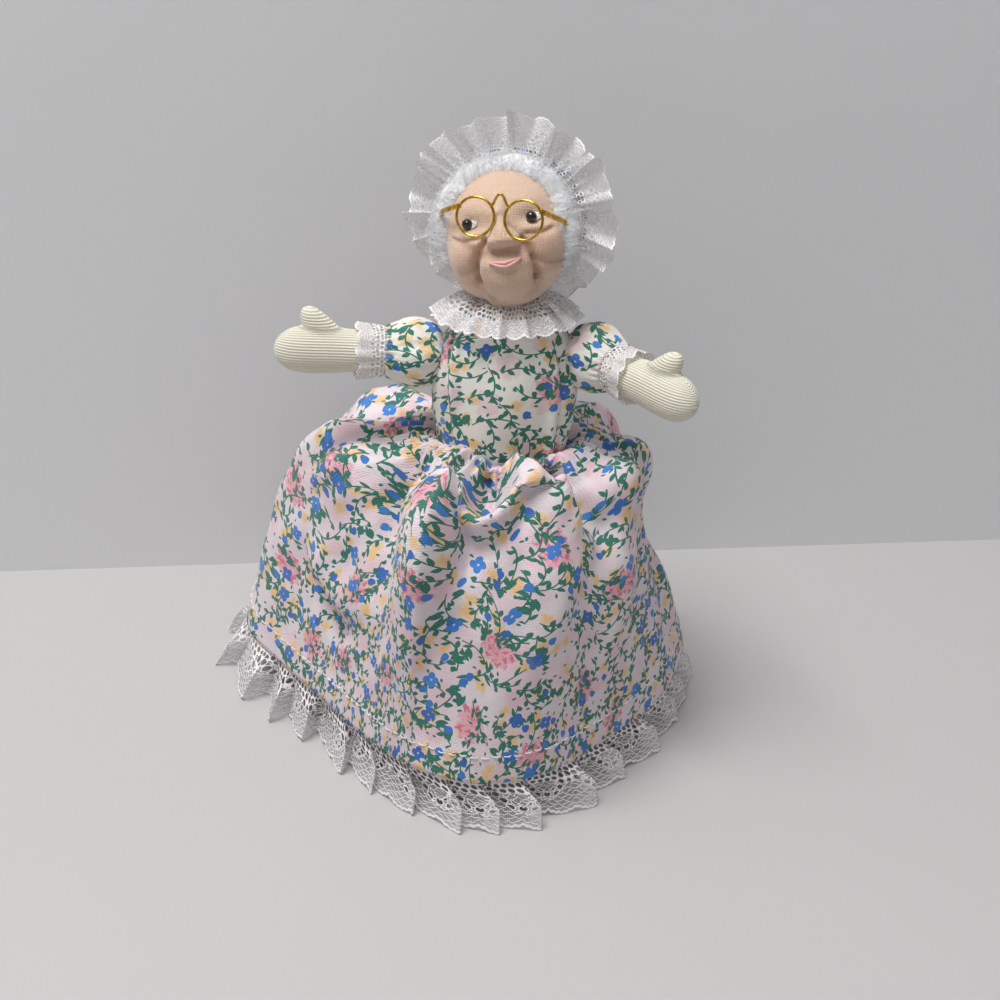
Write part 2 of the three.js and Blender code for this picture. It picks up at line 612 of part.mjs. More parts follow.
// The lady's roll of hair, spectacles and cap.
function addLadyHeadwear(head) {
  const glasses = spectacles(0);
  piece(head, "spectacles", glasses, BRASS_WIRE);
  const girth = sqrt(1 - (HAIR_FRONT / HEAD_HALF_DEPTH) ** 2);
  const across = HEAD_HALF_WIDTH * girth - HAIR_SINK;
  const up = HEAD_HALF_HEIGHT * girth - HAIR_SINK;
  const line = (u) => new THREE.Vector3(across * sin(TURN * u), -HAIR_FRONT, up * cos(TURN * u));
  const under = new THREE.BoxGeometry(4 * HEAD_HALF_WIDTH, 4 * HEAD_HALF_DEPTH, 2 * HEAD_HALF_HEIGHT);
  under.translate(0, 0, -HAIR_ENDS - HEAD_HALF_HEIGHT);
  const hair = solid(loopTube(line, HAIR_ROLL, 20, 7))
    .subtract(solid(under))
    .subtract(solid(headForm(LADY_FACE, CLEARANCE, 18, 12)))
    .subtract(spectacles(CLEARANCE));
  piece(head, "lady_hair", hair, WHITE_HAIR);

  const middle = new THREE.Vector3(0, CAP_BACK + CAP_NAPE / 3, CAP_LIFT);
  const crown = (u, v) => {
    const lift = 0.96 * (PI / 2) * v;
    const ripple = 1 + (CROWN_RIPPLE / CAP_HALF_WIDTH) * (1 - v) * v * 4 * cos(TURN * CROWN_GATHERS * u);
    const point = capEdge(u).sub(middle).multiplyScalar(cos(lift) * ripple).add(middle);
    point.y += CROWN_DEPTH * sin(lift);
    return point;
  };
  piece(head, "cap_crown", clothRing(crown, 2 * CROWN_GATHERS, 4, COTTON / 2, -COTTON / 2), PRINTED_COTTON);
  const brim = (u, v) => {
    const angle = TURN * u;
    const down = (1 - cos(angle)) / 2;
    const width = BRIM_WIDTH * lerp(1, 0.35, down * down);
    const out = new THREE.Vector3(sin(angle), lerp(-0.35, 0.9, down * down), cos(angle)).normalize();
    const point = capEdge(u).addScaledVector(out, CLEARANCE + width * v);
    point.y -= COTTON + BRIM_RIPPLE * v * (1 + sin(TURN * BRIM_RUFFLES * u));
    return point;
  };
  piece(head, "cap_brim_lace", clothRing(brim, 3 * BRIM_RUFFLES, 1, LACE / 2, -LACE / 2), WHITE_LACE);
  const casing = (u) => {
    const inset = COTTON + CLEARANCE + ELASTIC_RADIUS;
    const edge = capEdge(u).sub(middle);
    edge.multiplyScalar(1 - inset / CAP_HALF_HEIGHT).add(middle);
    edge.y += inset;
    return edge;
  };
  piece(head, "cap_elastic", loopTube(casing, ELASTIC_RADIUS, 32, 4), FIBRE);
}

// The girl's bobbed hair: a thick shell over the head with openings for the face and the neck.
function addGirlHair(head) {
  const opening = new THREE.CylinderGeometry(GIRL_FACE_RADIUS, GIRL_FACE_RADIUS, 2 * HEAD_HALF_DEPTH, 18);
  opening.translate(0, -HEAD_HALF_DEPTH, -HEAD_HALF_HEIGHT / 4);
  const under = new THREE.BoxGeometry(4 * HEAD_HALF_WIDTH, 4 * HEAD_HALF_DEPTH, HEAD_HALF_HEIGHT);
  under.translate(0, 0, -HEAD_HALF_HEIGHT);
  const bob = solid(headForm([], GIRL_HAIR + CLEARANCE, 18, 12))
    .subtract(solid(headForm(GIRL_FACE, CLEARANCE, 18, 12)))
    .subtract(solid(opening))
    .subtract(solid(under));
  piece(head, "girl_hair", bob, YARN);
}

// The skirt's side view: share of the way from waist to hem, and height.
const skirtProfile = new THREE.CubicBezierCurve(
  new THREE.Vector2(0, WAIST_HEIGHT),
  new THREE.Vector2(0.72, WAIST_HEIGHT + SKIRT_PUFF),
  new THREE.Vector2(0.74, WAIST_HEIGHT - SKIRT_SHOULDER),
  new THREE.Vector2(1, HEM_HEIGHT),
);
const SKIRT_WAIST = CLEARANCE + COTTON + BINDING_EASE + COTTON + CLEARANCE; // outside the stuffed body

// Value at a place of the smooth curve through the given places and values, level at both ends.
function smoothAt(place, places, values) {
  const last = places.length - 1;
  const at = min(max(place, places[0]), places[last]);
  const next = max(1, places.findIndex((p) => p >= at));
  const run = (i) => places[i] - places[i - 1];
  const climb = (i) => (values[i] - values[i - 1]) / run(i);
  const between = (i) => (run(i) * climb(i + 1) + run(i + 1) * climb(i)) / (run(i) + run(i + 1));
  const slope = (i) => (i === 0 || i === last ? 0 : between(i));
  const t = (at - places[next - 1]) / run(next);
  const from = (1 + 2 * t) * (1 - t) ** 2 * values[next - 1] + t * (1 - t) ** 2 * run(next) * slope(next - 1);
  return from + t ** 2 * (3 - 2 * t) * values[next] + t ** 2 * (t - 1) * run(next) * slope(next);
}

const hemRound = [[HEM_REACH.at(-1)[0] - 360, HEM_REACH.at(-1)[1]], ...HEM_REACH]
  .concat(HEM_REACH.slice(0, 2).map(([degrees, reach]) => [degrees + 360, reach]));
const hemDegrees = hemRound.map(([degrees]) => degrees);
const hemReaches = hemRound.map(([, reach]) => reach);
const bearing = (u) => ((((360 * u - HEM_START) % 360) + 360) % 360) + HEM_START;

// Point of the skirt without its folds, from the waist at v 0 to the hem at v 1.
function skirtForm(u, v) {
  const angle = TURN * u;
  const { x: share, y: height } = skirtProfile.getPoint(v);
  const waistX = WAIST_ASIDE + (WAIST_HALF_WIDTH + SKIRT_WAIST) * cos(angle);
  const waistY = -WAIST_FORWARD + (WAIST_HALF_WIDTH * BODY_DEPTH_SHARE + SKIRT_WAIST) * sin(angle);
  const reach = smoothAt(bearing(u), hemDegrees, hemReaches);
  const [x, y] = [lerp(waistX, reach * cos(angle), share), lerp(waistY, reach * sin(angle), share)];
  return new THREE.Vector3(x, y, height);
}

const swell = (offset, width) => exp(-((offset / width) ** 2));

// Height of one of the folds at a place of the skirt.
function foldAt(fold, degrees, v) {
  const column = (i) => fold.along.map((point) => point[i]);
  const offset = degrees - smoothAt(v, column(1), column(0));
  return smoothAt(v, column(1), column(2)) * swell(offset, offset < 0 ? fold.left : fold.right);
}

// Height of all folds and puffs at a place of the skirt.
function reliefAt(degrees, v) {
  let height = 0;
  for (const fold of SKIRT_FOLDS) height += foldAt(fold, degrees, v);
  for (const puff of SKIRT_PUFFS)
    height += puff.height * swell(degrees - puff.degrees, puff.wide) * swell(v - puff.share, puff.tall);
  const behind = smoothstep(sin(rad(degrees)), -0.12, 0.3);
  const drift = BACK_FOLD_DRIFT * sin(rad(2 * degrees));
  const folds = BACK_FOLD_DEPTH * sin(rad(BACK_FOLDS * degrees + drift));
  const sways = BACK_SWAY_DEPTH * sin(rad(BACK_SWAYS * degrees + BACK_SWAY_START));
  height += behind * (folds + sways) * smoothstep(v, 0.04, 0.35) * (1 - 0.7 * smoothstep(v, 0.8, 1));
  height += behind * BACK_BULGE * swell(v - BACK_BULGE_SHARE, 0.2);
  return height * (1 - v ** HEM_STIFFNESS);
}

// Point of the skirt with its folds.
function skirtPoint(u, v) {
  const degrees = bearing(u);
  const point = skirtForm(u, v);
  const lean = PLEAT_LEAN * (foldAt(FRONT_PLEAT, degrees, v) + foldAt(RIGHT_PLEAT, degrees, v));
  const normal = sheetNormal(skirtForm, u, v);
  const aside = skirtForm(u + STEP, v).sub(skirtForm(u - STEP, v)).normalize();
  return point.addScaledVector(normal, reliefAt(degrees, v)).addScaledVector(aside, lean);
}

function addSkirt(doll) {
  const cloth = (outer) =>
    clothRing(skirtPoint, SKIRT_COLUMNS, SKIRT_ROWS, outer, outer - COTTON, 1, skirtForm);
  piece(doll, "skirt_outer", cloth(0), PRINTED_COTTON);
  piece(doll, "skirt_lining", cloth(-COTTON - LINING_GAP), LINING_COTTON);

  const tape = SKIRT_WAIST - CLEARANCE - COTTON / 2;
  const binding = (u, v) =>
    new THREE.Vector3(
      WAIST_ASIDE + (WAIST_HALF_WIDTH + tape) * cos(TURN * u),
      -WAIST_FORWARD + (WAIST_HALF_WIDTH * BODY_DEPTH_SHARE + tape) * sin(TURN * u),
      WAIST_HEIGHT + BINDING_HEIGHT * (0.4 - v),
    );
  piece(doll, "waist_binding", clothRing(binding, 24, 1, COTTON / 2, -COTTON / 2), CALICO);

  const edge = COTTON + LINING_GAP / 2;
  const lace = (u, v) => {
    const angle = TURN * u;
    const hem = skirtPoint(u, 1);
    const out = new THREE.Vector3(cos(angle), sin(angle), 0);
    const wave = HEM_RIPPLE * v * cos(HEM_RUFFLES * angle);
    hem.addScaledVector(out, -edge + HEM_LACE_FLARE * v + wave);
    return hem.setZ((HEM_HEIGHT - CLEARANCE) * (1 - v));
  };
  const ruffle = clothRing(lace, 3 * HEM_RUFFLES, 1, LACE / 2, -LACE / 2, 0);
  piece(doll, "hem_lace", ruffle, WHITE_LACE);
}

const doll = new THREE.Group();
const lady = new THREE.Group();
lady.position.set(WAIST_ASIDE, -WAIST_FORWARD, WAIST_HEIGHT);
lady.rotation.set(rad(-LEAN_BACK), rad(-LEAN_ASIDE), 0, "YXZ");
const girl = new THREE.Group();
girl.position.copy(lady.position);
girl.rotation.y = PI;
doll.add(lady, girl);

addTorso(lady, "lady", PRINTED_COTTON, lady.quaternion.clone().invert());
addCollar(lady, "lady_collar_lace", WHITE_LACE);
addArms(lady, "lady", LADY_ARMS, PRINTED_COTTON, true);
addLadyHeadwear(addHead(lady, "lady", LADY_FACE, EYE_APART, FACE_COCK, HEAD_TURN, HEAD_TIP));

addTorso(girl, "girl", PLAIN_COTTON, new THREE.Quaternion());
addCollar(girl, "girl_collar", WHITE_LACE);
addArms(girl, "girl", GIRL_ARMS, PLAIN_COTTON, false);
addGirlHair(addHead(girl, "girl", GIRL_FACE, GIRL_EYE_APART, 0, 0, 0));

addSkirt(doll);

export default doll;
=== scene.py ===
import math
import random

import bpy
import numpy as np
from mathutils import Matrix, Vector


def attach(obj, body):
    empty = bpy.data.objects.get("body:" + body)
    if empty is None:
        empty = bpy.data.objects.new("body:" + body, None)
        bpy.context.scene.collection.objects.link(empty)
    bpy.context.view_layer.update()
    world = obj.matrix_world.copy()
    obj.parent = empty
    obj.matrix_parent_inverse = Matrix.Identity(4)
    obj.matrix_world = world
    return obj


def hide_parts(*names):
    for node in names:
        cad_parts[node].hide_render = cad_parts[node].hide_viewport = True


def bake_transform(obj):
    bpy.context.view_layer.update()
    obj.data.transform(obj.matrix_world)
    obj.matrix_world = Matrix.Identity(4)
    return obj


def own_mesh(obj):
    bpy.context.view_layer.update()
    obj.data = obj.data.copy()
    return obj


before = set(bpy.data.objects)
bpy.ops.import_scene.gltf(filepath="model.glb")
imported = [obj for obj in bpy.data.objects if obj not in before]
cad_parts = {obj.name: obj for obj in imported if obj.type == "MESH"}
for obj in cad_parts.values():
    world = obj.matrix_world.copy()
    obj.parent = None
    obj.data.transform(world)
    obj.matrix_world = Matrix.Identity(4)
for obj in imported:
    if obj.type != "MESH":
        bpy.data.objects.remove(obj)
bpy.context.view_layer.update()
bpy.ops.object.select_all(action="DESELECT")

# Stuffed bodies
# The lady and the girl are two calico bodies sewn together waist to waist, one of them upside down.
# Each is filled hard with fibre and drawn in at the top to a short neck that carries the head.
MM = 0.001


def shift(x, y, z):
    return Matrix.Translation((x * MM, y * MM, z * MM))


def turn(axis, degrees):
    return Matrix.Rotation(math.radians(degrees), 4, axis)


def stand(place, spots):
    """Points in millimetres on a piece, brought to where the piece stands, in metres."""
    matrix = np.array(place)
    return (spots * MM) @ matrix[:3, :3].T + matrix[:3, 3]


def ease(value, low, high):
    share = np.clip((value - low) / (high - low), 0, 1)
    return share * share * (3 - 2 * share)


def draw_line(points, steps=24):
    """A smooth line through the points, and the share of its length at each of its steps."""
    points = np.array(points, float)
    ends = np.vstack([2 * points[0] - points[1], points, 2 * points[-1] - points[-2]])
    t = np.linspace(0, 1, steps, endpoint=False)[:, None]
    spans = []
    for a, b, c, d in zip(ends, ends[1:], ends[2:], ends[3:]):
        spans.append(b + 0.5 * t * (c - a + t * (2 * a - 5 * b + 4 * c - d + t * (3 * (b - c) + d - a))))
    line = np.vstack([*spans, points[-1:]])
    run = np.append(0, np.cumsum(np.linalg.norm(np.diff(line, axis=0), axis=1)))
    return line, run / run[-1]


def follow(drawn, share):
    line, run = drawn
    return np.stack([np.interp(share, run, line[:, i]) for i in range(line.shape[1])], -1)


def read_spots(mesh):
    spots = np.empty(3 * len(mesh.vertices))
    mesh.vertices.foreach_get("co", spots)
    return spots.reshape(-1, 3)


def write_spots(mesh, spots):
    mesh.vertices.foreach_set("co", np.ascontiguousarray(spots, np.float32).ravel())
    mesh.update()


def sew(piece, inside_out=False):
    """Joins the edges that meet and turns the faces outwards."""
    bpy.ops.object.select_all(action="DESELECT")
    piece.select_set(True)
    bpy.context.view_layer.objects.active = piece
    bpy.ops.object.mode_set(mode="EDIT")
    bpy.ops.mesh.select_all(action="SELECT")
    bpy.ops.mesh.remove_doubles(threshold=1e-6)
    bpy.ops.mesh.normals_make_consistent(inside=inside_out)
    bpy.ops.object.mode_set(mode="OBJECT")
    bpy.ops.object.shade_smooth()


def stuffed_form(name, segments, rings, form, around, along):
    """A stuffed piece, shaped from a ball by form(turn, rise). Its UV map is in decimetres of knit."""
    bpy.ops.object.select_all(action="DESELECT")
    bpy.ops.mesh.primitive_uv_sphere_add(segments=segments, ring_count=rings, radius=1)
    piece = bpy.context.object
    piece.name = piece.data.name = name
    mesh = piece.data
    mesh.uv_layers[0].name = "knit"
    ball = read_spots(mesh)
    corners = np.empty(len(mesh.loops), np.int32)
    mesh.loops.foreach_get("vertex_index", corners)
    uv = np.empty(2 * len(mesh.loops), np.float32)
    mesh.uv_layers["knit"].data.foreach_get("uv", uv)
    uv = uv.reshape(-1, 2)
    angle = np.arctan2(ball[:, 1], ball[:, 0])
    middle = np.abs(ball[corners, 2]) < 0.5
    seam = angle[corners[middle & (uv[:, 0] < 1e-5)][0]]
    rise = 1 - np.arccos(np.clip(ball[:, 2], -1, 1)) / math.pi
    write_spots(mesh, form(((angle - seam) / math.tau) % 1, rise))
    sized = uv * (around / 100, along / 100)
    mesh.uv_layers["knit"].data.foreach_set("uv", sized.astype(np.float32).ravel())
    sew(piece)
    return piece


class Tint:
    """A value that runs through the nodes of a finish: sums written on it become Math nodes."""

    def __init__(self, tree, socket=None):
        self.tree = tree
        self.socket = socket

    def node(self, kind, settings=None, values=None, out=0):
        made = self.tree.nodes.new(kind)
        for name, value in (settings or {}).items():
            setattr(made, name, value)
        for name, value in (values or {}).items():
            if isinstance(value, Tint):
                self.tree.links.new(value.socket, made.inputs[name])
            else:
                made.inputs[name].default_value = value
        return Tint(self.tree, made.outputs[out])

    def beside(self, out):
        return Tint(self.tree, self.socket.node.outputs[out])

    def attribute(self, name, out="Fac"):
        return self.node("ShaderNodeAttribute", {"attribute_name": name}, {}, out)

    def place(self):
        """The spot on the object, in metres."""
        return self.node("ShaderNodeTexCoord", {}, {}, "Object")

    def scaled(self, scale):
        return self.node("ShaderNodeVectorMath", {"operation": "SCALE"}, {0: self, "Scale": scale})

    def sum(self, operation, *parts):
        return self.node("ShaderNodeMath", {"operation": operation}, dict(enumerate(parts)))

    def __add__(self, other):
        return self.sum("ADD", self, other)

    __radd__ = __add__

    def __sub__(self, other):
        return self.sum("SUBTRACT", self, other)

    def __rsub__(self, other):
        return self.sum("SUBTRACT", other, self)

    def __mul__(self, other):
        return self.sum("MULTIPLY", self, other)

    __rmul__ = __mul__

    def __truediv__(self, other):
        return self.sum("DIVIDE", self, other)

    def __abs__(self):
        return self.sum("ABSOLUTE", self)

    def sine(self):
        return self.sum("SINE", self)

    def cosine(self):
        return self.sum("COSINE", self)

    def root(self):
        return self.sum("SQRT", self)

    def floor(self):
        return self.sum("FLOOR", self)

    def rest(self):
        return self.sum("FRACT", self)

    def most(self, other):
        return self.sum("MAXIMUM", self, other)

    def least(self, other):
        return self.sum("MINIMUM", self, other)

    def ease(self, low, high):
        """0 below low, 1 above high and smooth between them."""
        values = {"Value": self, "From Min": low, "From Max": high}
        return self.node("ShaderNodeMapRange", {"interpolation_type": "SMOOTHSTEP"}, values)

    def mix(self, none, full):
        """The colour none where this is 0, and full where it is 1."""
        return self.node("ShaderNodeMix", {"data_type": "RGBA"}, {0: self, 6: none, 7: full}, 2)

    def split(self):
        parts = self.node("ShaderNodeSeparateXYZ", {}, {0: self})
        return parts, parts.beside(1), parts.beside(2)

    def noise(self, scale, detail=2.0, roughness=0.5):
        values = {"Vector": self, "Scale": scale, "Detail": detail, "Roughness": roughness}
        return self.node("ShaderNodeTexNoise", {}, values)

    def bump(self, depth):
        """The surface's normal where this is its height, in steps of depth."""
        return self.node("ShaderNodeBump", {}, {"Strength": 1.0, "Distance": depth, "Height": self}, "Normal")


def dye(red, green, blue):
    """A colour given as it looks, from 0 to 255."""
    shares = (red / 255, green / 255, blue / 255)
    return (*(c / 12.92 if c < 0.04045 else ((c + 0.055) / 1.055) ** 2.4 for c in shares), 1)


def new_finish(name, **fixed):
    material = bpy.data.materials.new(name)
    material.use_nodes = True
    for socket, value in fixed.items():
        material.node_tree.nodes["Principled BSDF"].inputs[socket.replace("_", " ")].default_value = value
    return material, Tint(material.node_tree)


def show(material, **values):
    for socket, value in values.items():
        shader = material.node_tree.nodes["Principled BSDF"]
        material.node_tree.links.new(value.socket, shader.inputs[socket.replace("_", " ")])


def millimetres(tint, uv_map):
    """The piece's own UV map in millimetres."""
    return tint.node("ShaderNodeUVMap", {"uv_map": uv_map}).scaled(100.0)


def weave(x, y, pitch):
    """Height of a plain weave: threads that pass over and under each other."""
    over = (x * (math.pi / pitch)).sine()
    under = (y * (math.pi / pitch)).sine()
    return over * under


def complete(piece, material, body, slot, *replaced):
    """Gives a piece its material, the body that it goes with and the solids that it replaces; its slot is not
    used.
    """
    piece.data.materials.append(material)
    if body:
        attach(piece, body)
    if replaced:
        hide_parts(*replaced)


calico, tint = new_finish("calico", Roughness=0.9, Sheen_Weight=0.2)
flat = millimetres(tint, "knit")
x, y, _ = flat.split()
fleck = flat.noise(0.6, 4.0)
show(calico, Base_Color=fleck.ease(0.35, 0.7).mix(dye(226, 216, 196), dye(238, 231, 215)))
show(calico, Normal=(weave(x, y, 0.5) * 0.6 + fleck).bump(0.00012))

WAIST_MIDDLE = (8, -9, 96.9)
WAIST = WAIST_MIDDLE[2] * MM
SEAM_GAP = 0.0002
lady_half = shift(*WAIST_MIDDLE) @ turn("Y", -2) @ turn("X", -8)
girl_half = shift(*WAIST_MIDDLE) @ turn("Y", 180)
body_side = draw_line([(0, 0), (9, 0), (16, 0.4), (17.4, 5), (19.5, 15), (20, 24), (19, 32), (16.6, 38),
                       (12.5, 43), (9, 46), (7.2, 48.5), (7, 51), (5, 52), (0, 52)])


def body_depth(height):
    return 0.74 + 0.26 * ease(height, 34.5, 46)


def oval(width, depth, angle, height):
    """Spots on an oval ring, where depth is its size from front to back as a share of its width."""
    return np.stack([width * np.cos(angle), width * depth * np.sin(angle), height], -1)


def stuff_body(doll, half):
    def form(around, rise):
        width, height = follow(body_side, rise).T
        spots = stand(half, oval(width, body_depth(height), math.pi / 2 + math.tau * around, height))
        if doll == "lady":
            spots[:, 2] = np.maximum(spots[:, 2], WAIST + SEAM_GAP)
        else:
            spots[:, 2] = np.minimum(spots[:, 2], WAIST - SEAM_GAP)
        return spots

    body = stuffed_form(f"{doll}_body", 40, 30, form, 120, 90)
    complete(body, calico, "trunk", "calico", f"{doll}_torso", f"{doll}_torso_stuffing")


stuff_body("lady", lady_half)
stuff_body("girl", girl_half)

# Bodices
# The lady's bodice is light cotton lawn with a small flower print, cut in a front and two backs and sewn
# over her body, with a tuck at each side of the front. The girl's is plain blue cotton with white dots.


def scatter(flat, pitch, start, spread):
    """One motif in each cell of a cloth: mm from the motif's middle, turned at random, and two chances."""
    put = flat.node("ShaderNodeVectorMath", {"operation": "MULTIPLY_ADD"},
                    {0: flat, 1: (1 / pitch,) * 3, 2: (start, 0.7 * start, 0)})
    cell = put.node("ShaderNodeTexVoronoi", {"voronoi_dimensions": "2D"},
                    {"Vector": put, "Scale": 1.0, "Randomness": spread}, "Color")
    away = put.node("ShaderNodeVectorMath", {"operation": "SUBTRACT"}, {0: put, 1: cell.beside("Position")})
    first, second, third = cell.split()
    turned = away.node("ShaderNodeVectorRotate", {"rotation_type": "Z_AXIS"},
                       {"Vector": away.scaled(pitch), "Angle": first * math.tau})
    x, y, _ = turned.split()
    return x, y, second, third


def leaf(x, y, long, wide):
    """Depth inside a pointed leaf along x, in mm."""
    return (1 - x * x / (long * long)) * wide - abs(y)


def reach(x, y):
    return (x * x + y * y).root()


def petals(x, y, count, radius, cut):
    """Depth inside a flower with round petals, in mm."""
    angle = x.sum("ARCTAN2", y, x)
    edge = abs((angle * (count / 2)).cosine())
    return (edge * cut + (1 - cut)) * radius - reach(x, y)


def offset_rows(x, y, wide, tall):
    """The place in mm from the middle of the nearest spot, in rows set half a step aside in turn."""
    row = (y / tall).floor()
    return ((x / wide + row * 0.5).rest() - 0.5) * wide, ((y / tall).rest() - 0.5) * tall


PRINT_SIZE = 1.12
SPRIGS = ((12.5, 0.4, 5.6, 0.085, 2.1), (14.0, 6.6, 6.4, 0.06, 2.3), (17.0, 2.2, 7.6, 0.05, 3.4))


def flower_print(name, ground, blush):
    material, tint = new_finish(name, Roughness=0.88, Sheen_Weight=0.15)
    flat = millimetres(tint, "cut")
    x, y, _ = flat.split()
    flat = flat.scaled(PRINT_SIZE)
    fine = flat.noise(1.4, 3.0)
    broad = flat.noise(0.07, 1.0)
    wobble = flat.noise(0.55, 2.0)
    colour = broad.ease(0.42, 0.62).mix(ground, blush)

    # pale pink petals and peach blossoms, printed softly
    px, py, _, _ = scatter(flat, 19, 5.3, 0.75)
    petal = petals(px, py, 6, 5.2, 0.25) + (wobble - 0.5) * 3.0
    colour = (petal.ease(0, 1.2) * 0.55).mix(colour, dye(236, 192, 202))
    for pitch, start in ((10.5, 1.7), (12.5, 8.1)):
        px, py, chance, _ = scatter(flat, pitch, start, 0.85)
        blossom = petals(px, py * 1.3, 4, 3.1, 0.3) + (wobble - 0.5) * 2.4
        shown = blossom.ease(0, 0.6) * chance.ease(0.2, 0.25)
        colour = (shown * 0.75).mix(colour, dye(242, 204, 142))
        colour = (blossom.ease(0.9, 1.7) * chance.ease(0.2, 0.25) * 0.4).mix(colour, dye(232, 176, 98))

    # pink carnations with fringed petals
    px, py, _, other = scatter(flat, 36, 3.3, 0.6)
    fringe = petals(px * 0.85, py * 1.15, 11, 6.6, 0.22) + (wobble - 0.5) * 5.0
    colour = (fringe.ease(0, 0.8) * 0.75).mix(colour, dye(236, 164, 180))
    round_it = px.sum("ARCTAN2", py, px)
    ray = px.node("ShaderNodeCombineXYZ", {}, {0: round_it * 3.2, 1: reach(px, py) * 0.55, 2: other * 9.0})
    streak = ray.noise(1.0, 2.0).ease(0.5, 0.58) * fringe.ease(0.2, 0.9)
    colour = (streak * 0.8).mix(colour, dye(214, 92, 124))

    # curved sprigs, pairs of leaves and loose ticks in teal green
    green = None
    for pitch, start, half, bend, step in SPRIGS:
        px, py, _, _ = scatter(flat, pitch, start, 0.8)
        bent = py - px * px * bend
        part = px / step
        side = (part.floor() / 2).rest() * 4 - 1
        lx = (part.rest() - 0.5) * step
        ly = bent * side - 1.0
        twig = leaf((lx + ly) * 0.707, (ly - lx) * 0.707, 1.5, 0.7).most(0.26 - abs(bent))
        twig = twig.least(half - abs(px))
        green = twig if green is None else green.most(twig)
    px, py, chance, _ = scatter(flat, 12.0, 2.9, 0.8)
    for lean in (0.66, -0.66):
        along = px * math.cos(lean) + py * math.sin(lean) - 2.6
        across = py * math.cos(lean) - px * math.sin(lean)
        blade = leaf(along, across, 2.5, 1.35).least(abs(across) * 1.6 + along + 0.7)
        green = green.most(blade.least((chance - 0.4) * 9.0))
    px, py, chance, _ = scatter(flat, 4.4, 7.7, 0.9)
    green = green.most(leaf(px, py, 0.85, 0.4).least((chance - 0.4) * 9.0))
    colour = green.ease(-0.05, 0.08).mix(colour, fine.mix(dye(0, 94, 78), dye(0, 128, 106)))

    # blue flowers with four round petals, and round buds
    px, py, chance, other = scatter(flat, 15.0, 4.4, 0.8)
    flower = (1.2 - reach(abs(px) - 1.05, abs(py) - 1.05)).least((chance - 0.4) * 9.0)
    colour = flower.ease(-0.05, 0.1).mix(colour, other.mix(dye(18, 96, 184), dye(42, 130, 214)))
    px, py, chance, other = scatter(flat, 9.5, 9.2, 0.8)
    bud = petals(px * 0.9, py, 3, 1.4, 0.16).least((chance - 0.42) * 9.0)
    colour = bud.ease(-0.05, 0.1).mix(colour, other.mix(dye(20, 98, 186), dye(46, 134, 214)))

    threads = weave(x, y, 0.42)
    colour = (threads.ease(-0.9, 0.9) * 0.08).mix(colour, dye(248, 244, 244))
    show(material, Base_Color=colour, Roughness=fine * 0.15 + 0.8)
    show(material, Normal=(threads * 0.5 + fine + flat.noise(0.7, 2.0) * 1.5).bump(0.00013))
    return material


COTTON = 0.5


def make_up(name, across, down, surface, cut, thick=0.0):
    """Brings a flat piece of cloth to surface(u, v), in metres, with cut(u, v) in mm as its UV map."""
    bpy.ops.object.select_all(action="DESELECT")
    bpy.ops.mesh.primitive_grid_add(x_subdivisions=across, y_subdivisions=down, size=2)
    cloth = bpy.context.object
    cloth.name = cloth.data.name = name
    mesh = cloth.data
    mesh.uv_layers[0].name = "cut"
    grid = read_spots(mesh)
    u = grid[:, 0] / 2 + 0.5
    v = 0.5 - grid[:, 1] / 2
    corners = np.empty(len(mesh.loops), np.int32)
    mesh.loops.foreach_get("vertex_index", corners)
    uv = np.stack(cut(u, v), -1)[corners] / 100
    mesh.uv_layers["cut"].data.foreach_set("uv", uv.astype(np.float32).ravel())
    write_spots(mesh, surface(u, v))
    sew(cloth)
    if thick:
        layer = cloth.modifiers.new("thickness", "SOLIDIFY")
        layer.thickness = thick * MM
        layer.offset = -1
        bpy.ops.object.modifier_apply(modifier=layer.name)
    return cloth


def raised(surface, u, v, height):
    """Points of a sheet that runs down and round, moved out along its normal by height, in its own unit."""
    step = 1e-3
    along = surface(u + step, v) - surface(u - step, v)
    down = surface(u, np.minimum(v + step, 1)) - surface(u, np.maximum(v - step, 0))
    out = np.cross(down, along)
    out /= np.maximum(np.linalg.norm(out, axis=1, keepdims=True), 1e-12)
    return surface(u, v) + out * np.reshape(height, (-1, 1))


bodice_side = draw_line([(8.9, 46.6), (12.6, 43.6), (16.8, 38), (19.2, 31), (20.2, 23), (19.4, 12), (17.6, 3),
                         (17.2, -1)])


def bodice_form(u, v):
    width, height = follow(bodice_side, v).T
    return oval(width, body_depth(height), math.pi / 2 + math.tau * u, height)


def ridge(offset, left, right):
    """A fold's height across it, steeper on one side where left and right differ."""
    return np.exp(-((offset / np.where(offset < 0, left, right)) ** 2))


def lady_bodice_folds(u, v):
    angle = 90 + 360 * u
    lift = 1.3 + 0 * u
    lift += 1.5 * ridge(angle - (224 + 6 * v), 7, 3.2) * ease(v, 0.12, 0.3)
    lift -= 1.0 * ridge(angle - (214 + 6 * v), 3, 4) * ease(v, 0.12, 0.3)
    lift += 1.1 * ridge(angle - (316 - 4 * v), 3.2, 7) * ease(v, 0.15, 0.35)
    lift -= 0.8 * ridge(angle - (326 - 4 * v), 4, 3) * ease(v, 0.15, 0.35)
    lift += 0.45 * np.sin(np.radians(angle * 5 + 300 * v)) * ease(v, 0.1, 0.5)
    lift += 0.4 * np.cos(np.radians(angle * 26)) * ease(v, 0.75, 1)
    return lift


def girl_bodice_folds(u, v):
    return 1.2 + 0.35 * np.cos(math.tau * 22 * u) * ease(v, 0.6, 1)


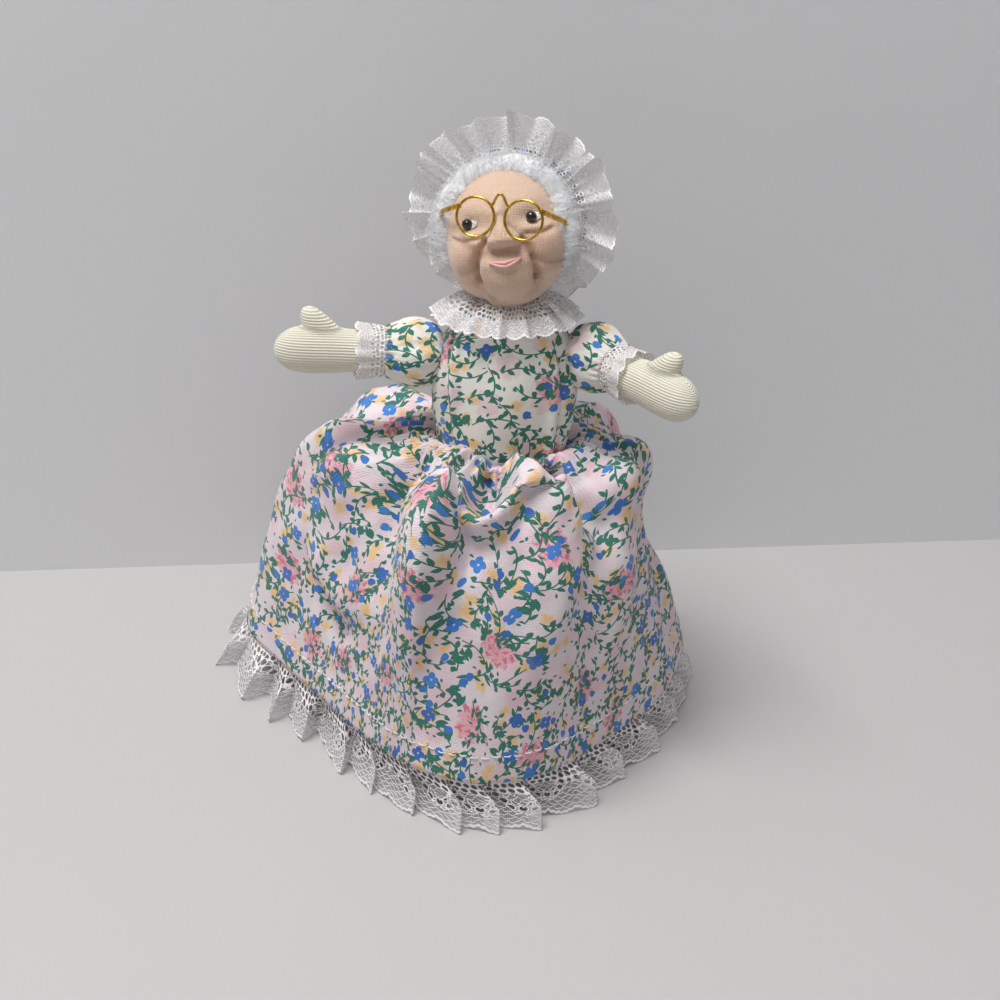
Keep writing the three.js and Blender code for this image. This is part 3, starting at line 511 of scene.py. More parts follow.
def cotton(name, dark, pale, rough=0.9, threads=0.5, depth=0.00009, dots=None):
    """Plain woven cotton, with white dots in rows where the distance between them is given, in mm."""
    material, tint = new_finish(name, Roughness=rough, Sheen_Weight=0.15)
    flat = millimetres(tint, "cut")
    x, y, _ = flat.split()
    fine = flat.noise(1.2, 3.0)
    colour = fine.mix(dark, pale)
    if dots:
        dot = 0.55 - reach(*offset_rows(x, y, dots, dots))
        colour = dot.ease(-0.08, 0.08).mix(colour, dye(240, 240, 236))
    show(material, Base_Color=colour, Normal=(weave(x, y, 0.45) * threads + fine).bump(depth))
    return material


lawn_cream = flower_print("flower_print_cream", dye(238, 236, 226), dye(240, 230, 222))
bodice = make_up(
    "lady_bodice_lawn", 180, 60,
    lambda u, v: stand(lady_half, raised(bodice_form, u, v, lady_bodice_folds(u, v))),
    lambda u, v: (118 * u + 31, 52 * v + 46),
    COTTON,
)
complete(bodice, lawn_cream, "trunk", "printed_cotton", "lady_bodice")

dotted_cotton = cotton("dotted_blue_cotton", dye(112, 150, 190), dye(138, 172, 206), rough=0.88, dots=3.4)
girl_bodice = make_up(
    "girl_bodice_cotton", 140, 48,
    lambda u, v: stand(girl_half, raised(bodice_form, u, v, girl_bodice_folds(u, v))),
    lambda u, v: (118 * u, 52 * v),
    COTTON,
)
complete(girl_bodice, dotted_cotton, "trunk", "plain_cotton", "girl_bodice")

# Collars
# A strip of machine-made cotton lace is gathered on its straight edge and sewn round the lady's neck, so
# that its scalloped edge lies in ruffles on the bodice. The girl has a flat white cotton collar.
ZIGZAG = 11.4


def lace_finish(name, scale, net_from=8.5, filled=0.2):
    """Cotton lace: y runs from its scalloped edge over wavy threads and eyelets to a net with round holes."""
    material, tint = new_finish(name, Roughness=0.85, Sheen_Weight=0.3)
    flat = millimetres(tint, "cut")
    sized = flat.scaled(1 / scale)
    x, y, _ = sized.split()
    uneven = sized.noise(0.35, 2.0)
    y = y + (uneven - 0.5) * 0.5
    scallop = abs((x * (math.tau / ZIGZAG)).sine())
    inner = y - (1 - scallop) * 1.1 + (x * (math.tau / 1.05)).sine() * 0.14
    edge_thread = (0.42 - abs(inner - 0.35)).ease(0, 0.12)

    # wavy threads, linked by very fine ones
    line = inner / 0.95
    turned = (line.floor() * math.pi + x * (math.tau / 1.85)).sine() * 0.22
    threads = (0.17 - abs(line.rest() - 0.5 - turned)).ease(0, 0.05)
    links = (x * (math.tau / 0.3)).sine().ease(-0.6, 0.9)
    lower = threads.most(links * 0.22 + filled)

    # round holes of the upper net, in offset rows
    hx, hy = offset_rows(x, y, 1.8, 1.3)
    upper = (hx * hx / 0.42 + hy * hy / 0.25).ease(0.8, 1.2).most(0.1)

    # larger holes in a zigzag
    vx = ((x / ZIGZAG).rest() - 0.5) * ZIGZAG
    near = 0.85 - abs(y - 4.4 - abs(vx) * 1.1) * 0.67
    eyelet = (0.66 - reach(*offset_rows(x, y, 1.9, 1.55))).least(near).least(y - 4.2)

    zone = (y + (x * (math.tau / ZIGZAG)).cosine() * 0.7).ease(net_from - 0.2, net_from + 0.2)
    cloth = lower + (upper - lower) * zone
    cloth = cloth * (1 - eyelet.ease(0, 0.1) * 0.9)
    cloth = cloth.most((eyelet + 0.26).ease(0, 0.1) * (1 - eyelet.ease(0, 0.1)))
    cloth = cloth.most(edge_thread) * inner.ease(-0.12, 0.02)
    show(material, Alpha=cloth.most(0.015))
    colour = uneven.mix(dye(244, 237, 238), dye(253, 250, 251))
    show(material, Base_Color=colour, Normal=(cloth + uneven * 0.4).bump(0.00018))
    return material


narrow_lace = lace_finish("narrow_lace", 0.95, 5.6, 0.48)
collar_side = draw_line([(8.2, 48.6), (9.6, 48.2), (12.8, 46.2), (16.0, 43.2), (18.2, 40.2)])


def collar_form(u, v):
    width, height = follow(collar_side, v).T
    return oval(width, 0.98 - 0.14 * v, math.pi / 2 + math.tau * u, height)


def collar_ruffles(u, v):
    angle = math.tau * u
    wave = np.sin(15 * angle + 0.9 * np.sin(4 * angle)) + 0.4 * np.sin(31 * angle + 1)
    return 1.6 + v * (2.5 + 1.6 * wave) + 0.25 * np.sin(60 * angle) * (1 - v)


collar = make_up(
    "lady_collar_ruffle", 300, 16,
    lambda u, v: stand(lady_half, raised(collar_form, u, v, collar_ruffles(u, v))),
    lambda u, v: (150 * u, 11.5 * (1 - v)),
)
complete(collar, narrow_lace, "trunk", "white_lace", "lady_collar_lace")

white_cotton = cotton("white_cotton", dye(228, 226, 222), dye(242, 241, 238), threads=0.6, depth=0.0001)


def girl_collar_form(u, v):
    lift = 1.6 + 0.25 * np.sin(math.tau * 5 * u) * v
    return stand(girl_half, raised(collar_form, u, 0.75 * v, lift))


girl_collar = make_up("girl_collar_cotton", 120, 14, girl_collar_form, lambda u, v: (84 * u, 8 * v), COTTON)
complete(girl_collar, white_cotton, "trunk", "plain_cotton", "girl_collar")

# Arms
# Each arm with its mitten hand is cut double from ribbed cotton knit, with the ribs along the arm, sewn
# round the edge, turned and stuffed. It is sewn on at the shoulder, so that it can be raised or swung.
# The sides are drawn as (place along the arm, half its thickness, half its height).
arm_side = draw_line([(-6, 0, 0), (-5.6, 2.4, 2.4), (-3, 5.2, 5.2), (0, 6, 6), (10, 6, 6), (18, 5.9, 6.2),
                      (25, 5.6, 7), (33, 5.6, 7.1), (37.5, 4.9, 6.1), (40.6, 3, 3.7), (41.8, 1.1, 1.4),
                      (42, 0, 0)])
thumb_side = draw_line([(-4, 0, 0), (-3.4, 2.4, 3.2), (0, 3.7, 5.0), (5, 3.5, 4.5), (10, 3.2, 3.7),
                        (13, 2.5, 2.8), (14.8, 1.2, 1.4), (15.2, 0, 0)])
SHOULDER_ASIDE = 26
SHOULDER_LEVEL = 31
THUMB_ROOT = (24, 0, 1)
THUMB_TURN = -50
SKIN_GRID = 0.55

rib_knit, tint = new_finish("ribbed_knit", Roughness=0.92, Sheen_Weight=0.3)
lie = tint.attribute("knit_lie", "Vector")
along, across, _ = lie.split()
rib = (across * (math.tau / 0.86)).cosine()
stitch = abs((along * (math.pi / 0.62) + rib * 0.8).sine())
fuzz = lie.noise(2.2, 3.0)
# Painted shade: the grooves between the ribs are painted darker.
groove_painted_shade = rib.ease(-1.0, 0.2)
colour = groove_painted_shade.mix(dye(220, 213, 190), fuzz.mix(dye(234, 229, 209), dye(243, 240, 225)))
show(rib_knit, Base_Color=colour, Normal=(rib * 0.55 + stitch * 0.4 + fuzz * 0.5).bump(0.00016))


def arm_body(key):
    doll, word = key.split("_")
    return f"{word}_arm_of_{doll}"


def stuff_arm(key, half, side, heading, rise):
    name = f"{key}_mitten"
    place = half @ shift(side * SHOULDER_ASIDE, 0, SHOULDER_LEVEL) @ turn("Z", heading) @ turn("Y", -rise)

    def limb(drawn):
        def form(around, height):
            angle = math.tau * around
            run, thick, tall = follow(drawn, height).T
            return stand(Matrix.Identity(4), np.stack([run, thick * np.cos(angle), tall * np.sin(angle)], -1))

        return form

    arm = stuffed_form(name, 36, 40, limb(arm_side), 40, 42)
    thumb = stuffed_form(name + "_thumb", 24, 20, limb(thumb_side), 20, 16)
    thumb.data.transform(shift(*THUMB_ROOT) @ turn("Y", THUMB_TURN))
    arm.select_set(True)
    bpy.context.view_layer.objects.active = arm
    bpy.ops.object.join()
    whole = arm.modifiers.new("one skin", "REMESH")
    whole.mode = "VOXEL"
    whole.voxel_size = SKIN_GRID * MM
    bpy.ops.object.modifier_apply(modifier=whole.name)
    soft = arm.modifiers.new("soft", "SMOOTH")
    soft.factor = 0.5
    soft.iterations = 7
    bpy.ops.object.modifier_apply(modifier=soft.name)
    spots = read_spots(arm.data) / MM
    half_tall = np.interp(spots[:, 0], arm_side[0][:, 0], arm_side[0][:, 2])
    level = spots[:, 2]
    lift = np.clip(level / np.maximum(half_tall, 2.0), -1, 1)
    beyond = level + 0.57 * half_tall * np.sign(lift)
    across = np.where(np.abs(level) < half_tall, half_tall * np.arcsin(lift), beyond)
    lie = np.stack([spots[:, 0], across, spots[:, 1]], -1).astype(np.float32)
    arm.data.attributes.new("knit_lie", "FLOAT_VECTOR", "POINT").data.foreach_set("vector", lie.ravel())
    arm.data.transform(place)
    bpy.ops.object.shade_smooth()
    complete(arm, rib_knit, arm_body(key), "mitten_jersey", f"{key}_arm", f"{key}_arm_stuffing")
    return place


arm_places = {
    "lady_right": stuff_arm("lady_right", lady_half, -1, 190, 3),
    "lady_left": stuff_arm("lady_left", lady_half, 1, -48, -5),
    "girl_right": stuff_arm("girl_right", girl_half, -1, 180, 74),
    "girl_left": stuff_arm("girl_left", girl_half, 1, 0, 74),
}

# Sleeves
# Short puffed sleeves of each bodice's own cotton are gathered into the armhole at the top and drawn in on
# the arm at the lower edge.
sleeve_side = draw_line([(-7.6, 0.8), (-7.4, 4.5), (-6.6, 7.4), (-4.4, 9.3), (-1, 10.3), (3, 10.1),
                         (6.5, 8.7), (9.2, 7.4), (9.7, 6.7)])


def sew_sleeve(key, finish, slot, seed):
    place = arm_places[key]
    chance = random.Random(seed)
    waves = [(n, chance.uniform(0, math.tau)) for n in (5, 7, 11, 17)]

    def surface(u, v):
        angle = math.tau * u
        run, radius = follow(sleeve_side, v).T
        folds = sum(np.sin(n * angle + p + 2 * v) / (0.35 * n) for n, p in waves)
        radius = radius + 0.55 * folds * np.sin(math.pi * np.clip(v, 0, 1))
        radius = radius + 0.3 * np.sin(26 * angle) * ease(v, 0.75, 1)
        return stand(place, np.stack([run, radius * np.cos(angle), radius * np.sin(angle)], -1))

    def cut(u, v):
        return 64 * u + 3 * seed, 20 * v + 9 * seed

    sleeve = make_up(f"{key}_puff_sleeve", 120, 34, surface, cut, COTTON)
    complete(sleeve, finish, None, slot, f"{key}_sleeve")
    armhole, on_arm = place @ Vector((-5.5 * MM, 0, 0)), place @ Vector((3 * MM, 0, 0))
    arm_body(key)
    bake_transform(sleeve)


sew_sleeve("lady_right", lawn_cream, "printed_cotton", 1)
sew_sleeve("lady_left", lawn_cream, "printed_cotton", 2)
sew_sleeve("girl_right", dotted_cotton, "plain_cotton", 3)
sew_sleeve("girl_left", dotted_cotton, "plain_cotton", 4)

# Cuffs
# The lady's sleeves end in a strip of the same narrow lace, gathered on the edge of the sleeve and lying
# over the top of the mitten.
cuff_side = draw_line([(8.6, 7.0), (10.5, 7.5), (14, 7.9), (18.6, 8.3)])


def sew_cuff(key):
    def surface(u, v):
        angle = math.tau * u
        run, radius = follow(cuff_side, v).T
        radius = radius + v * 0.5 * np.sin(9 * angle + 1.1 * np.sin(3 * angle))
        radius = radius + 0.15 * np.sin(30 * angle) * (1 - v)
        run = run + 0.3 * v * np.sin(5 * angle)
        spots = np.stack([run, radius * 0.93 * np.cos(angle), radius * np.sin(angle)], -1)
        return stand(arm_places[key], spots)

    cuff = make_up(f"{key}_cuff", 160, 14, surface, lambda u, v: (62 * u, 10.5 * (1 - v)))
    complete(cuff, narrow_lace, arm_body(key), "white_lace", f"{key}_cuff_lace")


sew_cuff("lady_right")
sew_cuff("lady_left")

# Heads
# Each head is a ball of fibre in a skin of fine flesh-coloured jersey. The lady's face is shaped with a
# needle: threads pulled through the stuffing make the creases beside the nose and chin, and the hollows.
HEAD_HALF = np.array([18.4, 17.6, 20.0])
HEAD_LEVEL = 67
EYE_LEVEL = 4.6
LADY_EYE = 9.1
GIRL_EYE = 7.2
LADY_ASKEW = 11
lady_head_place = lady_half @ shift(0, 0, HEAD_LEVEL) @ turn("Z", -10) @ turn("X", -12)
girl_head_place = girl_half @ shift(0, 0, HEAD_LEVEL)


def mound(a, b, middle, wide, tall):
    return np.exp(-(((a - middle[0]) / wide) ** 2) - ((b - middle[1]) / tall) ** 2)


def pulled(a, b, points, width):
    """How near a spot is to a line through points, such as a line of pulled thread, from 0 to 1."""
    nearest = np.full(np.shape(a), 1e9)
    for (ax, ay), (bx, by) in zip(points, points[1:]):
        dx, dy = bx - ax, by - ay
        share = np.clip(((a - ax) * dx + (b - ay) * dy) / (dx**2 + dy**2), 0, 1)
        nearest = np.minimum(nearest, np.hypot(a - ax - share * dx, b - ay - share * dy))
    return np.exp(-((nearest / width) ** 2))


# Height, middle, width and tallness of brows, eye hollows, eye bags, nostrils, cheeks, jowls, chin and lips.
LADY_MOUNDS = (
    (0.35, (-8.6, 9.4), 4.6, 2.6), (0.35, (8.6, 9.4), 4.6, 2.6), (-1.3, (-8.4, 4.4), 4.0, 2.5),
    (-1.3, (8.4, 4.4), 4.0, 2.5), (0.8, (-8.8, 1.7), 3.6, 1.0), (0.8, (8.8, 1.7), 3.6, 1.0),
    (1.1, (-2.5, -0.7), 1.5, 1.2), (1.1, (4.9, -0.7), 1.5, 1.2), (2.6, (-10.4, -3.2), 4.6, 4.8),
    (2.6, (11.8, -3.4), 4.8, 4.8), (2.0, (-11.4, -9.8), 4.0, 4.8), (2.1, (11.6, -10.4), 4.2, 4.8),
    (2.0, (0, -11.4), 6.2, 5.0), (1.5, (1, -5.8), 4.6, 1.7),
)
# Course, width and depth of the lines of pulled thread.
LADY_CREASES = (
    ([(-4.2, -0.6), (-5.8, -2.8), (-7.0, -5.6), (-7.6, -8.6), (-7.4, -11.6)], 1.0, 2.2),
    ([(5.8, -1.0), (7.2, -3.4), (7.9, -6.7), (8.0, -9.6), (7.6, -12.2)], 1.0, 2.2),
    ([(-7.4, -11.6), (-6.6, -14), (-4.6, -16)], 1.2, 0.8),
    ([(7.6, -12.2), (6.6, -14.4), (4.6, -16)], 1.2, 0.8),
    ([(-7.6, -7.4), (-9.6, -8.3), (-11.4, -8.2)], 1.2, 0.6),
    ([(8.2, -6.9), (10.8, -7.7), (12.8, -7.3)], 1.2, 0.7),
    ([(-13.4, 1.0), (-10, -0.4), (-6.2, 0.2)], 0.6, 0.8),
    ([(13.4, 0.8), (11, -0.2), (7.4, 0.2)], 0.6, 0.8),
    ([(-3.2, -2.9), (1.2, -3.2), (5.4, -2.7)], 0.8, 0.5),
)


def lady_face(a, b):
    """Height of the lady's face over the plain ball, in mm, and how deep it is creased, which also sets the
    painted shade in the creases.
    """
    height = sum(tall * mound(a, b, *spread) for tall, *spread in LADY_MOUNDS)
    middle = 0.5 + 0.7 * (1 - ease(b, -2, 9))
    wide = 1.9 + 3.2 * (1 - ease(b, -3.5, 7.5))
    tall = np.interp(b, [-4, -1.4, 2, 5, 9, 13], [4.6, 5.2, 4.2, 2.7, 1.1, 0])
    wedge = np.maximum(0, 1 - ((a - middle) / wide) ** 2) ** 0.72
    height += tall * wedge * ease(b, -4.0, -0.2) ** 0.75
    height += 1.3 * ease(-b, 4.2, 7.6) * ease(a, -8.4, -5.6) * (1 - ease(a, 5.8, 8.6))
    # How deep each spot lies in a pulled crease, which the finish paints darker as painted shade.
    crease_and_painted_shade = np.zeros(np.shape(a))
    for points, width, depth in LADY_CREASES:
        near = pulled(a, b, points, width)
        height -= depth * near
        crease_and_painted_shade = np.maximum(crease_and_painted_shade, near * min(1, depth / 1.6))
    return height, crease_and_painted_shade


def girl_face(a, b):
    height = 1.9 * mound(a, b, (0, -1), 2.6, 2.4) + 0.7 * mound(a, b, (0, 3), 1.6, 3)
    for side in (-1, 1):
        height -= 1.1 * mound(a, b, (GIRL_EYE * side, EYE_LEVEL), 3, 2.4)
        height += 1.5 * mound(a, b, (8.6 * side, -5), 4.4, 4)
    height += 1.2 * mound(a, b, (0, -13), 4.6, 3.6)
    crease_and_painted_shade = pulled(a, b, [(-3.6, -5.9), (0, -7.2), (3.6, -5.9)], 0.7)
    # The smile crease is sunk, and its depth also sets the painted shade in it.
    return height - 0.5 * crease_and_painted_shade, 0.5 * crease_and_painted_shade


def face_frame(x, z, askew):
    """The face's own directions: the lady's face sits a little askew on her head."""
    c, s = math.cos(math.radians(askew)), math.sin(math.radians(askew))
    return x * c + (z - EYE_LEVEL) * s, EYE_LEVEL - x * s + (z - EYE_LEVEL) * c


def on_face(place, face, askew, a, b, out=0.0):
    """Spots at (a, b) of a face, out mm in front of it, in metres."""
    a, b = np.asarray(a, float), np.asarray(b, float)
    x, up = face_frame(a, b, -askew)
    front = np.sqrt(1 - (x / HEAD_HALF[0]) ** 2 - (up / HEAD_HALF[2]) ** 2)
    ball = np.stack([x, -HEAD_HALF[1] * front, up], -1)
    normal = ball / HEAD_HALF**2
    normal /= np.linalg.norm(normal, axis=-1, keepdims=True)
    return stand(place, ball + normal * (face(a, b)[0] + out)[..., None])


face_jersey, tint = new_finish("flesh_jersey", Roughness=0.82, Sheen_Weight=0.35, Subsurface_Weight=0.06,
                               Subsurface_Radius=(0.002, 0.001, 0.0007))
flat = millimetres(tint, "knit")
x, y, _ = flat.split()
# depth is how deep a spot lies in a crease, and sets the painted shade there.
depth = tint.attribute("crease_and_painted_shade")
rosy = tint.attribute("rosy")
loops = abs((x * (math.pi / 0.86)).sine()) * 0.6 + abs((y * (math.pi / 0.7)).sine()) * 0.4
fuzz = flat.noise(1.1, 3.0)
colour = fuzz.ease(0.3, 0.7).mix(dye(212, 181, 156), dye(222, 193, 170))
colour = (rosy * 0.3).mix(colour, dye(214, 162, 138))
# Painted shade: the low lines between the knit's loops are painted darker.
colour = ((1 - loops) * 0.2).mix(colour, dye(190, 150, 124))
# Painted shade: the creases are painted a darker brown.
colour = (depth * 0.6).mix(colour, dye(160, 110, 84))
show(face_jersey, Base_Color=colour, Normal=(loops * 0.7 + fuzz * 0.4).bump(0.00016))


def stuff_head(doll, place, face, askew):
    marks = {}

    def form(around, rise):
        angle = math.pi / 2 + math.tau * around
        ring = np.sin(math.pi * rise)
        ball = np.stack([ring * np.cos(angle), ring * np.sin(angle), -np.cos(math.pi * rise)], -1)
        spots = ball * HEAD_HALF
        normal = ball / HEAD_HALF
        normal /= np.linalg.norm(normal, axis=1, keepdims=True)
        a, b = face_frame(spots[:, 0], spots[:, 2], askew)
        height, crease_and_painted_shade = face(a, b)
        front = ease(-ball[:, 1], 0.05, 0.4)
        # The creases are kept on the head for the painted shade in them.
        marks["crease_and_painted_shade"] = crease_and_painted_shade * front
        cheeks = mound(a, b, (-9.7, -4), 4, 4) + mound(a, b, (10.6, -4), 4, 4)
        marks["rosy"] = front * (cheeks + mound(a, b, (1, -1), 3, 3))
        return stand(place, spots + normal * (height * front)[:, None])

    head = stuffed_form(f"{doll}_face", 256, 180, form, 113, 60)
    for mark, values in marks.items():
        head.data.attributes.new(mark, "FLOAT", "POINT").data.foreach_set("value", values.astype(np.float32))
    complete(head, face_jersey, f"head_of_{doll}", "face_jersey", f"{doll}_head", f"{doll}_head_stuffing")


stuff_head("lady", lady_head_place, lady_face, LADY_ASKEW)
stuff_head("girl", girl_head_place, girl_face, 0)

# Eyes and mouths
# The eyes are round black glass beads, sewn on through their holes. A few white stitches beside each of
# the lady's beads make the white of the eye, and the mouths are stitches of pink cotton thread.


def lay_threads(name, lines, radius, sides=6, closed=False, flatten=None):
    """One piece of tubes along lines, an array of (line, step, xyz) in metres, with the radius in mm."""
    lines = np.asarray(lines, float)
    count, steps, _ = lines.shape
    if closed:
        along = np.roll(lines, -1, 1) - np.roll(lines, 1, 1)
    else:
        along = np.gradient(lines, axis=1)
    along /= np.maximum(np.linalg.norm(along, axis=2, keepdims=True), 1e-12)
    start = np.where(np.abs(along[:, 0, 2:3]) < 0.8, [[0.0, 0, 1]], [[1.0, 0, 0]])
    side = np.empty_like(lines)
    for step in range(steps):
        start = start - along[:, step] * (start * along[:, step]).sum(1, keepdims=True)
        start = start / np.maximum(np.linalg.norm(start, axis=1, keepdims=True), 1e-12)
        side[:, step] = start
    other = np.cross(along, side)
    angle = math.tau * np.arange(sides) / sides
    width = np.broadcast_to(np.asarray(radius, float) * MM, (count, steps))[..., None, None]
    wave = np.ones((count, steps, sides)) if flatten is None else flatten(count, steps, angle)
    ring = side[:, :, None] * np.cos(angle)[:, None] + other[:, :, None] * np.sin(angle)[:, None]
    spots = (lines[:, :, None] + ring * width * wave[..., None]).reshape(-1, 3)
    row = np.arange(count * steps * sides).reshape(count, steps, sides)
    here = row if closed else row[:, :-1]
    ahead = np.roll(row, -1, 1) if closed else row[:, 1:]
    quads = np.stack([here, np.roll(here, -1, 2), np.roll(ahead, -1, 2), ahead], -1).reshape(-1, 4)
    faces = quads.tolist()
    if not closed:
        faces += row[:, 0, ::-1].tolist() + row[:, -1].tolist()
    mesh = bpy.data.meshes.new(name)
    mesh.from_pydata(spots.tolist(), [], faces)
    piece = bpy.data.objects.new(name, mesh)
    bpy.context.collection.objects.link(piece)
    tone = np.random.default_rng(7).random(count).repeat(steps * sides)
    mesh.attributes.new("tone", "FLOAT", "POINT").data.foreach_set("value", tone.astype(np.float32))
    sew(piece)
    return piece


bead_glass, tint = new_finish("black_glass_bead", Coat_Roughness=0.08, Coat_Weight=0.6)
smear = tint.place().noise(900.0, 2.0)
show(bead_glass, Base_Color=smear.mix(dye(10, 9, 11), dye(26, 23, 25)), Roughness=smear * 0.16 + 0.05)


def spun(name, dark, pale, by_thread, grain, depth, **fixed):
    """Thread or fibre whose tone differs by a share from thread to thread, and for the rest along it."""
    material, tint = new_finish(name, **fixed)
    twist = tint.place().noise(*grain)
    tone = tint.attribute("tone") * by_thread + twist * (1 - by_thread)
    show(material, Base_Color=tone.mix(dark, pale), Normal=twist.bump(depth))
    return material


white_thread = spun("white_thread", dye(226, 222, 218), dye(244, 242, 240), 1, (3800.0, 2.0), 0.00006,
                    Roughness=0.6, Sheen_Weight=0.2)
pink_thread = spun("pink_thread", dye(224, 142, 142), dye(248, 196, 190), 0.5, (3200.0, 2.0), 0.00008,
                   Roughness=0.55, Sheen_Weight=0.2)
BEAD_RADIUS = 1.6


def sew_bead(doll, word, place, face, askew, a):
    bpy.ops.object.select_all(action="DESELECT")
    bpy.ops.mesh.primitive_uv_sphere_add(segments=32, ring_count=24, radius=BEAD_RADIUS * MM)
    bead = bpy.context.object
    bead.name = bead.data.name = f"{doll}_{word}_bead"
    spots = read_spots(bead.data)
    off_axis = np.hypot(spots[:, 0], spots[:, 1]) / MM
    hole = 1 - ease(off_axis, 0.22, 0.5)
    spots[:, 2] *= 0.95 * (1 - 0.5 * hole)
    write_spots(bead.data, spots)
    middle = Vector(on_face(place, face, askew, a, EYE_LEVEL, 1.0))
    bead.data.transform(Matrix.Translation(middle) @ place.to_3x3().to_4x4() @ turn("Y", 20))
    sew(bead)
    complete(bead, bead_glass, f"head_of_{doll}", "bead", f"{doll}_{word}_eye")


for side, word in ((-1, "right"), (1, "left")):
    sew_bead("lady", word, lady_head_place, lady_face, LADY_ASKEW, LADY_EYE * side)
    sew_bead("girl", word, girl_head_place, girl_face, 0, GIRL_EYE * side)

rows = []
arched = 0.25 + 0.35 * np.sin(np.linspace(0, math.pi, 9))
for middle in (-LADY_EYE, LADY_EYE):
    for step, tall in enumerate((1.3, 1.3, 1.2, 1.05, 0.8, 0.5)):
        b = np.linspace(EYE_LEVEL - tall, EYE_LEVEL + tall * 0.8, 9)
        a = middle + 0.9 + 0.33 * step + 0.1 * np.cos((b - EYE_LEVEL) * 1.2)
        rows.append(on_face(lady_head_place, lady_face, LADY_ASKEW, a, b, arched))
eye_whites = lay_threads("lady_eye_white_stitches", rows, 0.22)
complete(eye_whites, white_thread, "head_of_lady", "white_lace")

share = np.linspace(0, 1, 25)
lips = []
for lift in (0.42, -0.42):
    a = -3.2 + 8.0 * share
    b = np.interp(share, [0, 0.5, 1], [-5.9, -6.3, -5.6]) + (lift - 0.25) * np.sin(math.pi * share)
    lips.append(on_face(lady_head_place, lady_face, LADY_ASKEW, a, b, 0.5))
lady_lips = lay_threads("lady_lips_thread", lips, np.interp(share, [0, 0.5, 1], [0.32, 0.56, 0.32]), 8)
complete(lady_lips, pink_thread, "head_of_lady", "lip_thread", "lady_mouth_stitch")

smile = on_face(girl_head_place, girl_face, 0, -3.6 + 7.2 * share, -5.9 - 1.3 * np.sin(math.pi * share), 0.25)
girl_lips = lay_threads("girl_lips_thread", [smile], np.interp(share, [0, 0.5, 1], [0.3, 0.5, 0.3]), 8)
complete(girl_lips, pink_thread, "head_of_girl", "lip_thread", "girl_mouth_stitch")

# Spectacles
# One length of gold-coloured wire is bent into two rings, a peaked bridge and two arms. The rings rest on
# the nose, and the arms run back into the hair, where a stitch holds each end.
WIRE = 0.4
LENS = 5.4
LENS_LEVEL = 5.4
BRIDGE_MIDDLE = 1.2
FRONT = -20.8
around = math.tau * np.arange(72) / 72
rings = []
for side in (-1, 1):
    x = BRIDGE_MIDDLE + side * 6.9 + LENS * np.cos(around)
    ring = np.stack([x, FRONT - 0.1 * x, LENS_LEVEL + LENS * np.sin(around)], -1)
    rings.append(stand(lady_head_place, ring))
rims = lay_threads("spectacle_wire", rings, WIRE, 10, closed=True)
bent = []
bridge = draw_line([(-1.4, FRONT, 8.6), (-0.7, FRONT - 0.2, 9.3), (0.3, FRONT - 0.6, 11.3),
                    (BRIDGE_MIDDLE, FRONT - 0.8, 12.0), (2.1, FRONT - 0.7, 11.3), (3.1, FRONT - 0.5, 9.3),
                    (3.8, FRONT - 0.4, 8.6)])
bent.append(stand(lady_head_place, follow(bridge, np.linspace(0, 1, 40))))
for side in (-1, 1):
    for gap in (0, 0.75):
        aside = BRIDGE_MIDDLE + side * 11.2
        hinge = FRONT - 0.1 * aside
        level = LENS_LEVEL - gap
        arm = draw_line([(aside, hinge, level + 3.2), (aside + side * 1.5, hinge + 0.9, level + 2.7),
                         (side * 16.6, -12.6, level + 0.9), (side * 18.9, -5.5, level - 0.8),
                         (side * 19.3, -2.5, level - 1.4)])
        bent.append(stand(lady_head_place, follow(arm, np.linspace(0, 1, 40))))
arms = lay_threads("spectacle_arms", bent, WIRE, 10)
bpy.ops.object.select_all(action="DESELECT")
arms.select_set(True)
rims.select_set(True)
bpy.context.view_layer.objects.active = rims
bpy.ops.object.join()
gold_wire, tint = new_finish("gold_wire", Metallic=1.0)
wear = tint.place().noise(420.0, 3.0)
colour = wear.ease(0.35, 0.7).mix(dye(196, 148, 48), dye(236, 196, 92))
show(gold_wire, Base_Color=colour, Roughness=wear * 0.25 + 0.12)
complete(rims, gold_wire, "head_of_lady", "brass_wire", "spectacles")

# Hair
# The lady's hair is a roll of white carded fibre, teased out and caught down along the hairline. The girl
# has brown wool yarn, laid from a parting over the head and cut to a bob.
carded_fibre = spun("carded_fibre", dye(238, 238, 240), dye(251, 251, 252), 0.4, (2200.0, 4.0, 0.7), 0.0001,
                    Roughness=0.95, Sheen_Weight=0.6, Subsurface_Weight=0.3, Subsurface_Radius=(0.002,) * 3)


def roll_spot(sweep, round_it, radius):
    """Spots of the hair roll: sweep is the angle from the crown down to each side, in degrees."""
    a = np.radians(sweep)
    out = radius * np.cos(round_it)
    y = -2.6 - 2.0 * np.sin(a) ** 2 - radius * np.sin(round_it)
    return np.stack([(17.2 + out) * np.sin(a), y, (18.7 + out) * np.cos(a)], -1)


def roll_form(around, rise):
    sweep = -116 + 232 * rise
    angle = math.tau * around
    lumps = 0.3 * np.sin(0.09 * sweep + angle) + 0.2 * np.sin(0.17 * sweep - 2 * angle + 1)
    lumps = lumps + 0.12 * np.sin(0.4 * sweep)
    end = np.sqrt(np.clip(1 - np.abs(2 * rise - 1) ** 10, 0, 1))
    return stand(lady_head_place, roll_spot(sweep, angle, (4.1 + lumps) * end))


hair_roll = stuffed_form("lady_hair_roll", 40, 150, roll_form, 24, 70)
complete(hair_roll, carded_fibre, "head_of_lady", "white_hair", "lady_hair")

